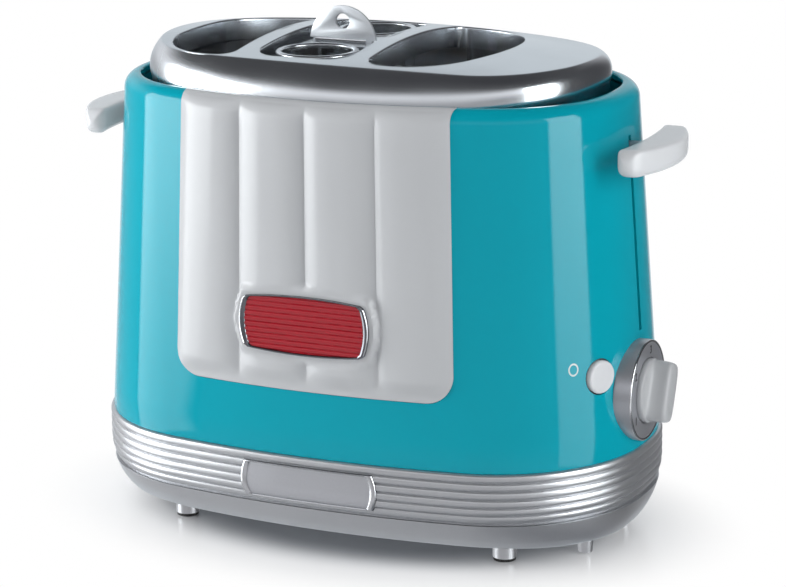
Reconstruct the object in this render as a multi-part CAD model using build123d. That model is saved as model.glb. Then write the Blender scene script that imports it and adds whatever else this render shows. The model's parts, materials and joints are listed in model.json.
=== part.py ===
from build123d import *
import math
import os

# Hot dog toaster: an oval body on a ribbed base, with two D-shaped bun slots and a
# lift-out sausage basket between them. Millimetres. The origin is on the floor under
# the middle of the body, +X towards the knob, -Y towards the front, +Z up.

# Body outline where it meets the base, and at its top rim
seam_half_length = 135.0
seam_half_width = 82.7
seam_corner_inset = 10.7
seam_front_bow = 5.0
seam_end_bow = 0.15
rim_half_length = 123.8
rim_half_width = 79.5
rim_corner_inset = 16.6
rim_front_bow = 10.7
rim_end_bow = 0.3

# Heights
foot_height = 9.0
pan_height = 15.1
ring_height = 25.0
body_height = 164.1
shoulder_radius = 6.5
rim_lip = 0.9
housing_wall = 3.0

# Base
base_step = 1.5
base_wall = 2.4
base_tuck = 16.0
base_tuck_height = 26.0
rib_count = 6
rib_pitch = 3.95
rib_depth = 0.9
pan_sections = 5
foot_end_gap = 52.0
foot_y = 47.0
foot_radius = 5.6
pad_radius = 5.2
pad_height = 1.5
peg_end_gap = 20.6
peg_y = 25.0
peg_top_radius = 4.3
peg_tip_radius = 3.3
peg_lift = 1.0
badge_half_length = 32.5
badge_height = 17.0
badge_drop = 4.5
badge_thickness = 1.2
badge_end_bow = 2.0
gland_end_gap = 51.0
gland_z = 36.0
gland_radius = 6.0
gland_bore = 3.6
gland_reach = 5.0
gland_flange = 8.0
gland_nut_depth = 2.5
gland_tail = 2.0

# Front panel and emblem
panel_top_half_width = 66.8
panel_bottom_half_width = 70.4
panel_bottom = 31.5
panel_corner_radius = 13.0
panel_thickness = 1.9
panel_proud = 0.25
panel_ribs = 4
panel_rib_rise = 1.5
panel_rib_run_out = 14.0
flat_rise = 0.1
emblem_z = 112.0
emblem_half_length = 30.0
emblem_height = 25.0
emblem_bow = 2.6
emblem_rim = 1.8
emblem_seat_margin = 3.2
emblem_seat_depth = 0.1
emblem_frame_thickness = 1.4
emblem_plate_thickness = 0.9

# Steel cover
cover_wall = 1.2
skirt_inset_x = 14.8
skirt_inset_y = 8.7
belt_inset_x = 14.0
belt_inset_y = 8.1
bulge_inset_x = 13.3
bulge_inset_y = 10.9
edge_inset_x = 17.3
edge_inset_y = 18.9
cover_edge_corner_inset = 8.2
cover_edge_front_bow = 4.7
cover_corner_inset = 14.0
cover_front_bow = 7.6
cover_end_bow = 0.4
cover_belt_drop = 1.2
cover_bulge_rise = 7.8
cover_edge_rise = 14.3
cover_edge_lean = 1.5
crown_rise = 20.0
crown_radius_across = 355.0
crown_radius_along = 1200.0
crown_centre_x = -14.3
crown_steps = 9
collar_depth = 9.0

# Openings in the cover
sausage_x = -15.7
sausage_slot_width = 47.2
sausage_slot_length = 106.0
sausage_corner_radius = 12.0
left_bridge = 10.3
right_bridge = 9.8
left_end_gap = 29.2
left_slot_length = 108.0
left_tip_bow = 0.8
left_tip_radius = 37.0
left_flat_radius = 7.0
right_end_gap = 55.5
right_slot_length = 108.0
right_tip_bow = 24.0
right_tip_radius = 37.0
right_flat_radius = 8.0

# Sheet-metal chassis
sheet = 1.2
liner_wall = 0.8
liner_rise = 5.0
chassis_drop = 16.0
end_plate_half_width = 44.0
end_plate_gap = 9.7
beam_gate = 5.0
guard_wire_radius = 0.7
guard_inner_y = 18.0
guard_outer_y = 42.0
guard_bars = 4
card_thickness = 1.0
card_half_length = 49.0
heater_turns = 9
heater_strip_height = 1.6
heater_strip_thickness = 0.3
crumb_hole_half_length = 50.0
rod_radius = 3.0
rod_y = 9.0
rod_end_gap = 11.8
rod_plate_gap = 8.0

# Carriage
carriage_floor_gap = 4.7
beam_height = 10.0
beam_half_thickness = 2.0
beam_drop = 61.0
leg_width = 11.0
arm_half_thickness = 1.0
stem_height = 8.0
stem_drop = 13.0
lever_slot_half_width = 1.5
slider_width = 12.0
slider_height = 26.0
slider_lift = 15.0
rack_thickness = 1.2
rack_side_gap = 3.2
rack_slots = 5
rack_slot_width = 4.0
spring_radius = 4.6
spring_wire_radius = 0.5
spring_turns = 11
armature_thickness = 2.0
armature_reach = 20.0
armature_lift = 25.0

# Lever handles
handle_gap = 7.0
handle_width = 19.2
handle_half_length = 35.0
handle_height = 12.5
handle_hollow = 2.0
handle_tip_radius = 5.0
handle_edge_radius = 2.8
handle_socket = 9.0

# Sausage basket
ring_spacing = 65.0
ring_outer_radius = 19.3
ring_inner_radius = 16.4
ring_thickness = 1.4
web_half_length = 16.0
web_half_width = 17.0
basket_top_drop = 4.6
cage_wires = 8
cage_wire_radius = 0.8
cage_hoops = 2
cup_floor_thickness = 1.2
cup_floor_hole = 5.0
tab_y = -4.6
tab_radius = 17.0
tab_thickness = 1.2
tab_hole_radius = 3.6
tab_hole_rise = 9.6

# Knob and dial
knob_y = -6.0
knob_z = 76.0
dial_radius = 23.5
dial_proud = 3.0
dial_rim_width = 2.2
dial_rim_height = 1.3
dial_depth = 17.2
knob_radius = 14.9
knob_base_depth = 3.6
knob_reach = 13.2
grip_width = 12.5
grip_edge = 1.6
grip_turn = 22.0
shaft_radius = 3.0
bush_radius = 4.6
bush_length = 9.0
pot_radius = 8.5
pot_depth = 8.0

# Stop button, control board and magnet
button_y = -36.0
button_z = 89.2
button_radius = 7.7
button_proud = 1.8
button_depth = 7.0
button_travel = 2.5
button_boss_wall = 1.8
button_stem_radius = 3.0
switch_size = 10.0
switch_depth = 5.0
board_depth = 29.2
board_thickness = 1.6
board_front_y = -48.0
board_back_y = -3.0
board_bottom_rise = 4.0
board_height = 45.0
standoff_radius = 2.5
magnet_front_y = -23.0
magnet_back_y = -9.0
magnet_gap = 0.4
coil_radius = 6.6
terminal_front_y = 28.0
terminal_length = 22.0
terminal_width = 10.0
terminal_height = 12.0

# Crumb tray
tray_x = -14.0
tray_half_length = 68.0
tray_front_y = -54.0
tray_lift = 5.5
tray_wall = 1.0
tray_depth = 7.0
fascia_height = 14.0
rail_width = 2.6
rail_back_y = 48.0

# Screws
post_plate_gap = 4.0
post_y = 34.0
post_radius = 4.6
screw_radius = 1.9
screw_head_radius = 3.3
screw_head_height = 2.4

# Clearances
slide_gap = 0.4
run_gap = 0.06
seat_gap = 0.15
body_gap = 0.3

# Levels and places worked out from the sizes above
pan_z = foot_height
ring_z = pan_z + pan_height
seam_z = ring_z + ring_height
rim_z = seam_z + body_height
floor_z = seam_z
floor_top = floor_z + sheet
top_plate_z = rim_z - chassis_drop - sheet
skirt_z = top_plate_z + sheet
crown_z = rim_z + crown_rise
sausage_left_x = sausage_x - sausage_slot_width / 2
sausage_right_x = sausage_x + sausage_slot_width / 2
bun_left_flat_x = sausage_left_x - left_bridge
bun_right_flat_x = sausage_right_x + right_bridge
left_slot_width = rim_half_length - left_end_gap + bun_left_flat_x
right_slot_width = rim_half_length - right_end_gap - bun_right_flat_x
heater_left_x = sausage_left_x - left_bridge / 2
heater_right_x = sausage_right_x + right_bridge / 2
beam_rest_z = top_plate_z - beam_drop
rest_top_z = beam_rest_z + beam_height
slider_rest_z = beam_rest_z + slider_lift
armature_rest_z = beam_rest_z + armature_lift
carriage_travel = beam_rest_z - floor_top - carriage_floor_gap
stem_rest_z = top_plate_z - stem_drop
stem_bottom_z = stem_rest_z - carriage_travel
basket_top_z = crown_z - basket_top_drop
foot_x = seam_half_length - foot_end_gap
peg_x = seam_half_length - peg_end_gap
gland_x = seam_half_length - gland_end_gap
rod_left_x = rod_end_gap - rim_half_length
end_plate_left_x = rod_left_x + rod_plate_gap
end_plate_right_x = rim_half_length - right_end_gap + end_plate_gap
rod_right_x = end_plate_right_x + rod_plate_gap
post_left_x = end_plate_left_x + post_plate_gap
post_right_x = rod_right_x
handle_inner_x = rim_half_length + handle_gap
handle_outer_x = handle_inner_x + handle_width


class Outline:
    """An oval of tangent arcs: bowed front and back, bowed ends, round corners."""

    def __init__(self, half_length, half_width, corner_inset, front_bow, end_bow):
        self.half_length = half_length
        self.half_width = half_width
        self.corner_inset = corner_inset
        self.front_bow = front_bow
        self.end_bow = end_bow

    def grown(self, offset):
        length = self.half_length + offset
        width = self.half_width + offset
        return Outline(length, width, self.corner_inset, self.front_bow, self.end_bow)

    def blended(self, other, share):
        pairs = zip(self.values(), other.values())
        return Outline(*[a + (b - a) * share for a, b in pairs])

    def values(self):
        size = [self.half_length, self.half_width]
        return size + [self.corner_inset, self.front_bow, self.end_bow]

    def corner(self):
        """Radius and centre of the corner arc in the +X, -Y quarter."""
        radius = self.half_width - self.corner_inset
        centre_x = self.half_length - radius - self.end_bow
        centre_y = self.front_bow - self.corner_inset
        return radius, centre_x, centre_y

    def side_radii(self):
        radius, centre_x, centre_y = self.corner()
        front = radius + (centre_x**2 + self.front_bow**2) / (2 * self.front_bow)
        end = radius + (centre_y**2 + self.end_bow**2) / (2 * self.end_bow)
        return front, end

    def width_at(self, x):
        """Half width at a distance x from the middle."""
        radius, centre_x, centre_y = self.corner()
        front, end = self.side_radii()
        join_x = centre_x * front / (front - radius)
        if abs(x) < join_x:
            return self.half_width - front + math.sqrt(front**2 - x**2)
        return -centre_y + math.sqrt(radius**2 - (abs(x) - centre_x) ** 2)

    def corner_point(self, y):
        """Point on the corner arc at a given y, and its outward angle."""
        radius, centre_x, centre_y = self.corner()
        angle = math.asin((y - centre_y) / radius)
        return centre_x + radius * math.cos(angle), math.degrees(angle)

    def face(self, height):
        radius, centre_x, centre_y = self.corner()
        front, end = self.side_radii()
        front_angle = math.atan2(centre_y + self.half_width - front, centre_x)
        end_angle = math.atan2(centre_y, centre_x - self.half_length + end)
        middle = (front_angle + end_angle) / 2
        points = []
        for angle in (front_angle, middle, end_angle):
            x = centre_x + radius * math.cos(angle)
            points.append((x, centre_y + radius * math.sin(angle)))
        edges = []
        for sx, sy in ((1, 1), (1, -1), (-1, 1), (-1, -1)):
            arc = [(sx * x, sy * y, height) for x, y in points]
            edges.append(Edge.make_three_point_arc(*arc))
        (near_x, near_y), _, (far_x, far_y) = points
        for side in (1, -1):
            ends = [(-near_x, side * near_y, height), (near_x, side * near_y, height)]
            middle_point = (0, -side * self.half_width, height)
            edges.append(Edge.make_three_point_arc(ends[0], middle_point, ends[1]))
            ends = [(side * far_x, far_y, height), (side * far_x, -far_y, height)]
            middle_point = (side * self.half_length, 0, height)
            edges.append(Edge.make_three_point_arc(ends[0], middle_point, ends[1]))
        return Face(Wire.combine(edges)[0])


seam = Outline(
    seam_half_length, seam_half_width, seam_corner_inset, seam_front_bow, seam_end_bow
)
rim = Outline(
    rim_half_length, rim_half_width, rim_corner_inset, rim_front_bow, rim_end_bow
)
base = seam.grown(base_step)


def body_outline(z):
    """Outer outline of the body at a height."""
    return seam.blended(rim, (z - seam_z) / body_height)


dial_face_x = body_outline(knob_z).half_length + dial_proud
knob_reach_x = dial_face_x + knob_reach
board_x = body_outline(knob_z).half_length - board_depth


def cover_outline(inset_x, inset_y):
    """Outline of the cover's side, set in from the body's rim."""
    return Outline(
        rim_half_length - inset_x, rim_half_width - inset_y,
        cover_corner_inset, cover_front_bow, cover_end_bow
    )


def tower(levels):
    """Solid through outlines at rising heights."""
    return loft([outline.face(z) for z, outline in levels], ruled=True)


def prism(outline, low, high):
    return extrude(outline.face(low), high - low, dir=(0, 0, 1))


def block(x0, x1, y0, y1, z0, z1):
    centre = ((x0 + x1) / 2, (y0 + y1) / 2, (z0 + z1) / 2)
    return Pos(*centre) * Box(x1 - x0, y1 - y0, z1 - z0)


def post(x, y, z0, z1, radius):
    return Pos(x, y, (z0 + z1) / 2) * Cylinder(radius, z1 - z0)


def bar_x(y, z, x0, x1, radius):
    return Pos((x0 + x1) / 2, y, z) * Rot(0, 90, 0) * Cylinder(radius, x1 - x0)


def bar_y(x, z, y0, y1, radius):
    return Pos(x, (y0 + y1) / 2, z) * Rot(90, 0, 0) * Cylinder(radius, y1 - y0)


def shoulder_levels(offset):
    """Levels of the body's outer surface, moved out by an offset."""
    levels = [(seam_z, seam.grown(offset))]
    for degrees in (0, 22.5, 45, 67.5, 90):
        turn = math.radians(degrees)
        z = rim_z - shoulder_radius + shoulder_radius * math.sin(turn)
        pull = shoulder_radius * (1 - math.cos(turn))
        levels.append((z, body_outline(z).grown(offset - pull)))
    return levels


def body_solid(offset):
    return tower(shoulder_levels(offset))


def base_offset(z):
    """How far the base tucks in at a height."""
    drop = pan_z + base_tuck_height - z
    return -base_tuck * (max(drop, 0) / base_tuck_height) ** 2


def base_levels(low, high, steps, offset):
    heights = [low + (high - low) * i / steps for i in range(steps + 1)]
    return [(z, base.grown(base_offset(z) + offset)) for z in heights]


class BunSlot:
    """D-shaped slot: flat side at flat_x, round side towards side * X."""

    def __init__(self, flat_x, side, width, length, tip_bow, tip_radius, flat_radius):
        self.flat_x = flat_x
        self.side = side
        self.width = width
        self.half_length = length / 2
        self.tip_bow = tip_bow
        self.tip_radius = tip_radius
        self.flat_radius = flat_radius

    def face(self, offset, z):
        half = self.half_length + offset
        flat = self.flat_x - self.side * offset
        tip = self.flat_x + self.side * (self.width + offset)
        shoulder = tip - self.side * self.tip_bow
        near = [(flat, -half, z), (flat, half, z)]
        far = [(shoulder, half, z), (shoulder, -half, z)]
        edges = [
            Edge.make_line(near[0], near[1]),
            Edge.make_line(near[1], far[0]),
            Edge.make_three_point_arc(far[0], (tip, 0, z), far[1]),
            Edge.make_line(far[1], near[0]),
        ]
        face = Face(Wire(edges))
        corners = sorted(face.vertices(), key=lambda v: self.side * v.X)
        face = face.fillet_2d(self.flat_radius + offset, corners[:2])
        far_first = sorted(face.vertices(), key=lambda v: abs(v.X - shoulder))
        return face.fillet_2d(self.tip_radius + offset, far_first[:2])

    def prism(self, offset, low, high):
        return extrude(self.face(offset, low), high - low, dir=(0, 0, 1))


def sausage_prism(offset, low, high):
    width = sausage_slot_width + 2 * offset
    length = sausage_slot_length + 2 * offset
    plan = RectangleRounded(width, length, sausage_corner_radius + offset)
    return Pos(sausage_x, 0, low) * extrude(plan, high - low)


left_slot = BunSlot(
    bun_left_flat_x, -1, left_slot_width, left_slot_length,
    left_tip_bow, left_tip_radius, left_flat_radius
)
right_slot = BunSlot(
    bun_right_flat_x, 1, right_slot_width, right_slot_length,
    right_tip_bow, right_tip_radius, right_flat_radius
)


# Base


def ribbed_ring_solid():
    """Outer form of the base ring: a stack of round-backed ribs."""
    levels = []
    for i in range(rib_count):
        high = seam_z - i * rib_pitch
        for share in (0, 0.2, 0.5, 0.8):
            z = high - share * rib_pitch
            dip = rib_depth * (2 * share - 1) ** 2
            levels.append((z, base.grown(base_offset(z) - dip)))
    last = seam_z - rib_count * rib_pitch
    levels.append((last, base.grown(base_offset(last) - rib_depth)))
    levels.append((ring_z, base.grown(base_offset(ring_z) - rib_depth / 2)))
    return tower(levels[::-1])


def badge_solid(gap):
    """The blank badge's form, cut from the smooth base, with room all round it."""
    half = badge_half_length + gap
    high = seam_z - badge_drop + gap
    low = high - badge_height - 2 * gap
    edges = []
    for side in (1, -1):
        x = side * half
        bow = (side * (half + badge_end_bow), 0, (low + high) / 2)
        edges.append(Edge.make_three_point_arc((x, 0, low), bow, (x, 0, high)))
    edges.append(Edge.make_line((-half, 0, low), (half, 0, low)))
    edges.append(Edge.make_line((-half, 0, high), (half, 0, high)))
    face = Face(Wire.combine(edges)[0])
    window = extrude(face, base.half_width + base_step, dir=(0, -1, 0))
    shell = tower(base_levels(ring_z, seam_z, 5, 0))
    shell -= tower(base_levels(ring_z, seam_z, 5, -badge_thickness - rib_depth - 2 * gap))
    return window & shell


def tray_window(gap):
    """Opening at the back of the base ring for the crumb tray's fascia."""
    x = tray_half_length + 2 * slide_gap + gap
    low = ring_z + tray_lift - gap
    back = base.half_width + base_step
    return block(tray_x - x, tray_x + x, 0, back, low, low + fascia_height + 2 * gap)


def make_base_ring():
    ring = ribbed_ring_solid()
    hollow = -(rib_depth + base_wall)
    ledge_z = seam_z - base_wall
    ring -= tower(base_levels(ring_z, ledge_z, 4, hollow))
    ring -= prism(base.grown(hollow - 6.0), ledge_z, seam_z)
    ring -= badge_solid(seat_gap)
    ring -= tray_window(slide_gap)
    ring -= bar_y(gland_x, gland_z, 0, base.half_width, gland_radius + seat_gap)
    for x in (post_left_x, post_right_x):
        for y in (-post_y, post_y):
            ring -= post(x, y, ring_z, seam_z, post_radius + seat_gap)
    return ring


def screw_places():
    return [(x, y) for x in (post_left_x, post_right_x) for y in (-post_y, post_y)]


def make_base_pan():
    pan = tower(base_levels(pan_z, ring_z, pan_sections, 0))
    inner = base_levels(pan_z + base_wall, ring_z, pan_sections, -base_wall)
    pan -= tower(inner)
    for x, y in screw_places():
        pan += post(x, y, pan_z + base_wall / 2, floor_z, post_radius)
        pan -= post(x, y, pan_z, floor_z, screw_radius + seat_gap)
        head_room = pan_z + screw_head_height + seat_gap
        pan -= post(x, y, pan_z, head_room, screw_head_radius + seat_gap)
    return pan


def make_base_screws():
    screws = []
    for x, y in screw_places():
        head = post(x, y, pan_z, pan_z + screw_head_height, screw_head_radius)
        slot = block(x - 0.5, x + 0.5, y - 5, y + 5, pan_z, pan_z + 1)
        shank = post(x, y, pan_z + 1, floor_top + 2, screw_radius)
        screws.append((head - slot) + shank)
    return Compound(screws)


def foot_places():
    return [(x, y) for x in (-foot_x, foot_x) for y in (-foot_y, foot_y)]


def make_feet():
    return Compound([post(x, y, pad_height, pan_z, foot_radius) for x, y in foot_places()])


def make_foot_pads():
    return Compound([post(x, y, 0, pad_height, pad_radius) for x, y in foot_places()])


def make_cord_pegs():
    pegs = []
    height = pan_z + base_wall - peg_lift
    pan = tower(base_levels(pan_z, ring_z, pan_sections, 0))
    for y in (-peg_y, peg_y):
        cone = Cone(peg_tip_radius, peg_top_radius, height)
        pegs.append(Pos(peg_x, y, peg_lift + height / 2) * cone - pan)
    return Compound(pegs)


def make_badge():
    return badge_solid(0)


def gland_y():
    return base.width_at(gland_x)


def make_cord_gland():
    """Bush through the base's rear wall, held by a nut behind the slanting wall."""
    outer = gland_y() + gland_reach
    wall_y = gland_y() - rib_depth - base_wall
    slant = base.width_at(gland_x - gland_radius) - base.width_at(gland_x + gland_radius)
    nut_y = wall_y - slant - gland_nut_depth
    inner = nut_y - gland_nut_depth - gland_tail
    gland = bar_y(gland_x, gland_z, inner, outer, gland_radius)
    gland += bar_y(gland_x, gland_z, nut_y - gland_nut_depth, nut_y, gland_flange)
    return gland - bar_y(gland_x, gland_z, inner, outer, gland_bore)


def make_crumb_tray():
    low = ring_z + tray_lift
    back = base.width_at(tray_half_length + abs(tray_x)) - rib_depth - base_wall - 1
    x0 = tray_x - tray_half_length
    x1 = tray_x + tray_half_length
    pan = block(x0, x1, tray_front_y, back, low, low + tray_depth)
    pan -= block(
        x0 + tray_wall,
        x1 - tray_wall,
        tray_front_y + tray_wall,
        back - tray_wall,
        low + tray_wall,
        low + tray_depth,
    )
    skin = ribbed_ring_solid()
    skin -= tower(base_levels(ring_z, seam_z, 4, -(rib_depth + base_wall)))
    fascia = skin & tray_window(0)
    middle = base.half_width - rib_depth - base_wall
    bridge = block(x0, x1, back - tray_wall, middle, low, low + tray_wall + 1)
    bridge &= prism(base.grown(-(rib_depth + base_wall) + 0.5), low, low + 5)
    return pan + fascia + bridge


def make_tray_rails():
    rails = []
    high = ring_z + tray_lift + tray_depth
    for side in (-1, 1):
        inner = tray_x + side * (tray_half_length + slide_gap)
        outer = inner + side * rail_width
        lip = inner - side * rail_width
        x0, x1 = sorted((inner, outer))
        rail = block(x0, x1, tray_front_y, rail_back_y, pan_z + base_wall, high)
        x0, x1 = sorted((lip, outer))
        shelf = ring_z + tray_lift - slide_gap
        rail += block(x0, x1, tray_front_y, rail_back_y, shelf - 1.5, shelf)
        rails.append(rail)
    return Compound(rails)


# Body


def panel_half_width(z):
    share = (z - seam_z - panel_bottom) / (body_height - panel_bottom)
    change = panel_top_half_width - panel_bottom_half_width
    return panel_bottom_half_width + change * share


def panel_section(z, outline, rise, side_gap, back_depth):
    """Plan of the ribbed panel at a height: scalloped front, arched back."""
    half = panel_half_width(z) + side_gap
    marks = [-half + 2 * half * i / panel_ribs for i in range(panel_ribs + 1)]
    edges = []
    for left, right in zip(marks, marks[1:]):
        crest_x = (left + right) / 2
        start = (left, -outline.width_at(left) - panel_proud, z)
        crest = (crest_x, -outline.width_at(crest_x) - panel_proud - rise, z)
        end = (right, -outline.width_at(right) - panel_proud, z)
        edges.append(Edge.make_three_point_arc(start, crest, end))
    side_y = -outline.width_at(half) + back_depth
    middle = (0, -outline.half_width + back_depth, z)
    back = [(-half, side_y, z), (half, side_y, z)]
    edges.append(Edge.make_three_point_arc(back[1], middle, back[0]))
    edges.append(Edge.make_line(back[0], (-half, -outline.width_at(half) - panel_proud, z)))
    edges.append(Edge.make_line(back[1], (half, -outline.width_at(half) - panel_proud, z)))
    return Face(Wire.combine(edges)[0])


def panel_form(side_gap, back_depth, rib_rise):
    """Ribbed panel from its rounded foot to the rim; the ribs run out at both ends."""
    low = seam_z + panel_bottom - side_gap
    full = low + panel_rib_run_out
    shoulder = rim_z - shoulder_radius
    stops = [(low, body_outline(low), flat_rise), (full, body_outline(full), rib_rise)]
    for z, outline in shoulder_levels(0)[1:]:
        stops.append((z, outline, rib_rise if z <= shoulder else flat_rise))
    faces = [panel_section(z, o, rise, side_gap, back_depth) for z, o, rise in stops]
    form = loft(faces, ruled=True)
    radius = panel_corner_radius + side_gap
    width = 2 * (panel_half_width(low) + side_gap)
    window = RectangleRounded(width, 2 * (rim_z - low), radius)
    return form & Pos(0, 0, rim_z) * (Plane.XZ * extrude(window, 2 * rim_half_width))


def emblem_face(offset):
    half = emblem_half_length + offset
    high = emblem_height / 2 + offset
    edges = []
    for side in (1, -1):
        x = side * half
        bow = (side * (half + emblem_bow), 0, emblem_z)
        ends = [(x, 0, emblem_z - high), (x, 0, emblem_z + high)]
        edges.append(Edge.make_three_point_arc(ends[0], bow, ends[1]))
        z = emblem_z + side * high
        edges.append(Edge.make_line((-half, 0, z), (half, 0, z)))
    return Face(Wire.combine(edges)[0])


def emblem_prism(offset, near, far):
    """Emblem outline, from a distance near to a distance far in front."""
    return Pos(0, -near, 0) * extrude(emblem_face(offset), far - near, dir=(0, -1, 0))


def emblem_seat_y():
    return body_outline(emblem_z).half_width + panel_proud + panel_rib_rise / 2


def make_front_panel():
    panel = panel_form(0, panel_thickness, panel_rib_rise)
    seat = emblem_seat_y()
    front = seat + panel_rib_rise + panel_thickness
    pad = emblem_prism(emblem_seat_margin, seat - panel_thickness, seat)
    inside = body_outline(emblem_z).grown(-panel_thickness / 2)
    panel += pad - prism(inside, emblem_z - emblem_height, emblem_z + emblem_height)
    panel -= emblem_prism(emblem_seat_margin, seat, front)
    return panel - emblem_prism(seat_gap, seat - emblem_seat_depth, front)


def make_emblem_frame():
    near = emblem_seat_y() - emblem_seat_depth
    frame = emblem_prism(0, near, near + emblem_frame_thickness)
    return frame - emblem_prism(-emblem_rim, near, near + emblem_frame_thickness)


def make_emblem_plate():
    near = emblem_seat_y() - emblem_seat_depth
    return emblem_prism(-emblem_rim - seat_gap, near, near + emblem_plate_thickness)


def button_place():
    """Where the stop button's axis leaves the body, and the axis's angle from X."""
    return body_outline(button_z).corner_point(button_y)


def button_cylinder(radius, inner, outer):
    """Cylinder on the stop button's axis, from inner to outer along it."""
    x, angle = button_place()
    along = Pos((inner + outer) / 2, 0, 0) * Rot(0, 90, 0) * Cylinder(radius, outer - inner)
    return Pos(x, button_y, button_z) * Rot(0, 0, angle) * along


def make_housing():
    shell = body_solid(0)
    inner = [(seam_z, seam.grown(-housing_wall))]
    low = rim_z - shoulder_radius
    inner.append((low, body_outline(low).grown(-housing_wall)))
    high = rim_z - housing_wall
    inner.append((high, body_outline(high).grown(-shoulder_radius)))
    cavity = tower(inner)
    mouth = body_outline(rim_z).grown(-shoulder_radius - rim_lip)
    shell -= cavity
    shell -= prism(mouth, rim_z - shoulder_radius, rim_z)
    boss = button_cylinder(button_radius + slide_gap + button_boss_wall, -12, 0)
    shell += boss & cavity
    shell -= button_cylinder(button_radius + slide_gap, -20, 20)
    shell -= panel_form(seat_gap, panel_thickness + seat_gap, panel_rib_rise + 2)
    slot_top = stem_rest_z + stem_height + 2.5
    reach = seam_half_length + 5
    slot_low = stem_bottom_z - slide_gap
    half = lever_slot_half_width
    shell -= block(-reach, -rim_half_length / 2, -half, half, slot_low, slot_top)
    shell -= block(rim_half_length / 2, reach, -half, half, slot_low, slot_top)
    shell -= bar_x(knob_y, knob_z, board_x, reach, bush_radius + slide_gap)
    return shell


# Steel cover


def crown_section(x):
    """Upright section across the crowned block, arched on top."""
    half = seam_half_width
    sag = crown_radius_across - math.sqrt(crown_radius_across**2 - half**2)
    run = x - crown_centre_x
    high = crown_z - crown_radius_along + math.sqrt(crown_radius_along**2 - run**2)
    low = skirt_z - 10
    top = [(x, -half, high - sag), (x, 0, high), (x, half, high - sag)]
    edges = [
        Edge.make_three_point_arc(*top),
        Edge.make_line(top[2], (x, half, low)),
        Edge.make_line((x, half, low), (x, -half, low)),
        Edge.make_line((x, -half, low), top[0]),
    ]
    return Face(Wire(edges))


def crowned_block():
    """Block wider than the cover, crowned in both directions on top."""
    step = 2 * seam_half_length / crown_steps
    places = [-seam_half_length + step * i for i in range(crown_steps + 1)]
    return loft([crown_section(x) for x in places], ruled=True)


def cover_levels(offset):
    belt_z = rim_z - cover_belt_drop
    bulge_z = rim_z + cover_bulge_rise
    edge_z = rim_z + cover_edge_rise
    peak_z = crown_z + 1
    skirt = cover_outline(skirt_inset_x, skirt_inset_y)
    belt = cover_outline(belt_inset_x, belt_inset_y)
    bulge = cover_outline(bulge_inset_x, bulge_inset_y)
    edge = Outline(
        rim_half_length - edge_inset_x, rim_half_width - edge_inset_y,
        cover_edge_corner_inset, cover_edge_front_bow, cover_end_bow
    )
    peak = edge.grown(-cover_edge_lean)
    levels = [(skirt_z, skirt), (belt_z, belt), (bulge_z, bulge)]
    levels += [(edge_z, edge), (peak_z, peak)]
    return [(z, outline.grown(offset)) for z, outline in levels]


def make_top_cover():
    outer = tower(cover_levels(0)) & crowned_block()
    inner = tower(cover_levels(-cover_wall)) & (Pos(0, 0, -cover_wall) * crowned_block())
    collar_z = crown_z - collar_depth - cover_wall
    cover = outer - inner
    for slot in (left_slot, right_slot):
        cover += slot.prism(cover_wall, collar_z, crown_z + 1) & outer
    cover += sausage_prism(cover_wall, collar_z, crown_z + 1) & outer
    for slot in (left_slot, right_slot):
        cover -= slot.prism(0, collar_z - 1, crown_z + 2)
    return cover - sausage_prism(0, collar_z - 1, crown_z + 2)


# Chassis


def liner_offset():
    return cover_wall + body_gap


def make_bun_liner(slot):
    """C-shaped sheet round a bun, open on the heater side and gated for the beam."""
    inner = liner_offset()
    top = rim_z + liner_rise
    liner = slot.prism(inner + liner_wall, floor_top, top)
    liner -= slot.prism(inner, floor_top, top)
    far = seam_half_width
    x0, x1 = sorted((slot.flat_x + slot.side * 4, slot.flat_x - slot.side * 10))
    liner -= block(x0, x1, -far, far, floor_top, top)
    x0, x1 = sorted((slot.flat_x, slot.flat_x + slot.side * (slot.width + 10)))
    gate = rest_top_z + rack_thickness + 3
    return liner - block(x0, x1, -beam_gate, beam_gate, floor_top, gate)


def make_chassis_floor():
    plate = prism(seam.grown(-housing_wall - seat_gap), floor_z, floor_top)
    half = crumb_hole_half_length
    x0 = end_plate_left_x + 6
    x1 = end_plate_right_x - 6
    plate -= block(x0, bun_left_flat_x - 2, -half, half, floor_z, floor_top)
    plate -= block(bun_right_flat_x + 2, x1, -half, half, floor_z, floor_top)
    plate -= block(sausage_left_x + 2, sausage_right_x - 2, -half, half, floor_z, floor_top)
    for x, y in screw_places():
        plate -= post(x, y, floor_z, floor_top, screw_radius + seat_gap)
    return plate


def make_chassis_top():
    low = top_plate_z
    plate = prism(body_outline(low).grown(-housing_wall - 2 * seat_gap), low, skirt_z)
    clear = liner_offset() + liner_wall + seat_gap
    for slot in (left_slot, right_slot):
        plate -= slot.prism(clear, low, skirt_z)
        x0, x1 = sorted((slot.flat_x - slot.side * 5, slot.flat_x + slot.side * 1.6))
        half = slot.half_length + 3
        plate += block(x0, x1, -half, half, low, skirt_z)
    return plate - sausage_prism(cover_wall, low, skirt_z)


def make_end_plate(x):
    half = end_plate_half_width
    plate = block(x - sheet / 2, x + sheet / 2, -half, half, floor_top, top_plate_z)
    gate = rest_top_z + 3
    return plate - block(x - sheet, x + sheet, -beam_gate, beam_gate, floor_top, gate)


def make_bun_guard(slot):
    """Upright wires with cross bars between the bun and its heater."""
    x = slot.flat_x + slot.side * (guard_wire_radius + 0.4)
    parts = []
    for front in (-1, 1):
        y0, y1 = sorted((front * guard_inner_y, front * guard_outer_y))
        group = post(x, y0, floor_top, top_plate_z, guard_wire_radius)
        group += post(x, y1, floor_top, top_plate_z, guard_wire_radius)
        step = (top_plate_z - floor_top) / (guard_bars + 1)
        for i in range(guard_bars):
            group += bar_y(x, floor_top + step * (i + 1), y0, y1, guard_wire_radius)
        parts.append(group)
    return Compound(parts)


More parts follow.
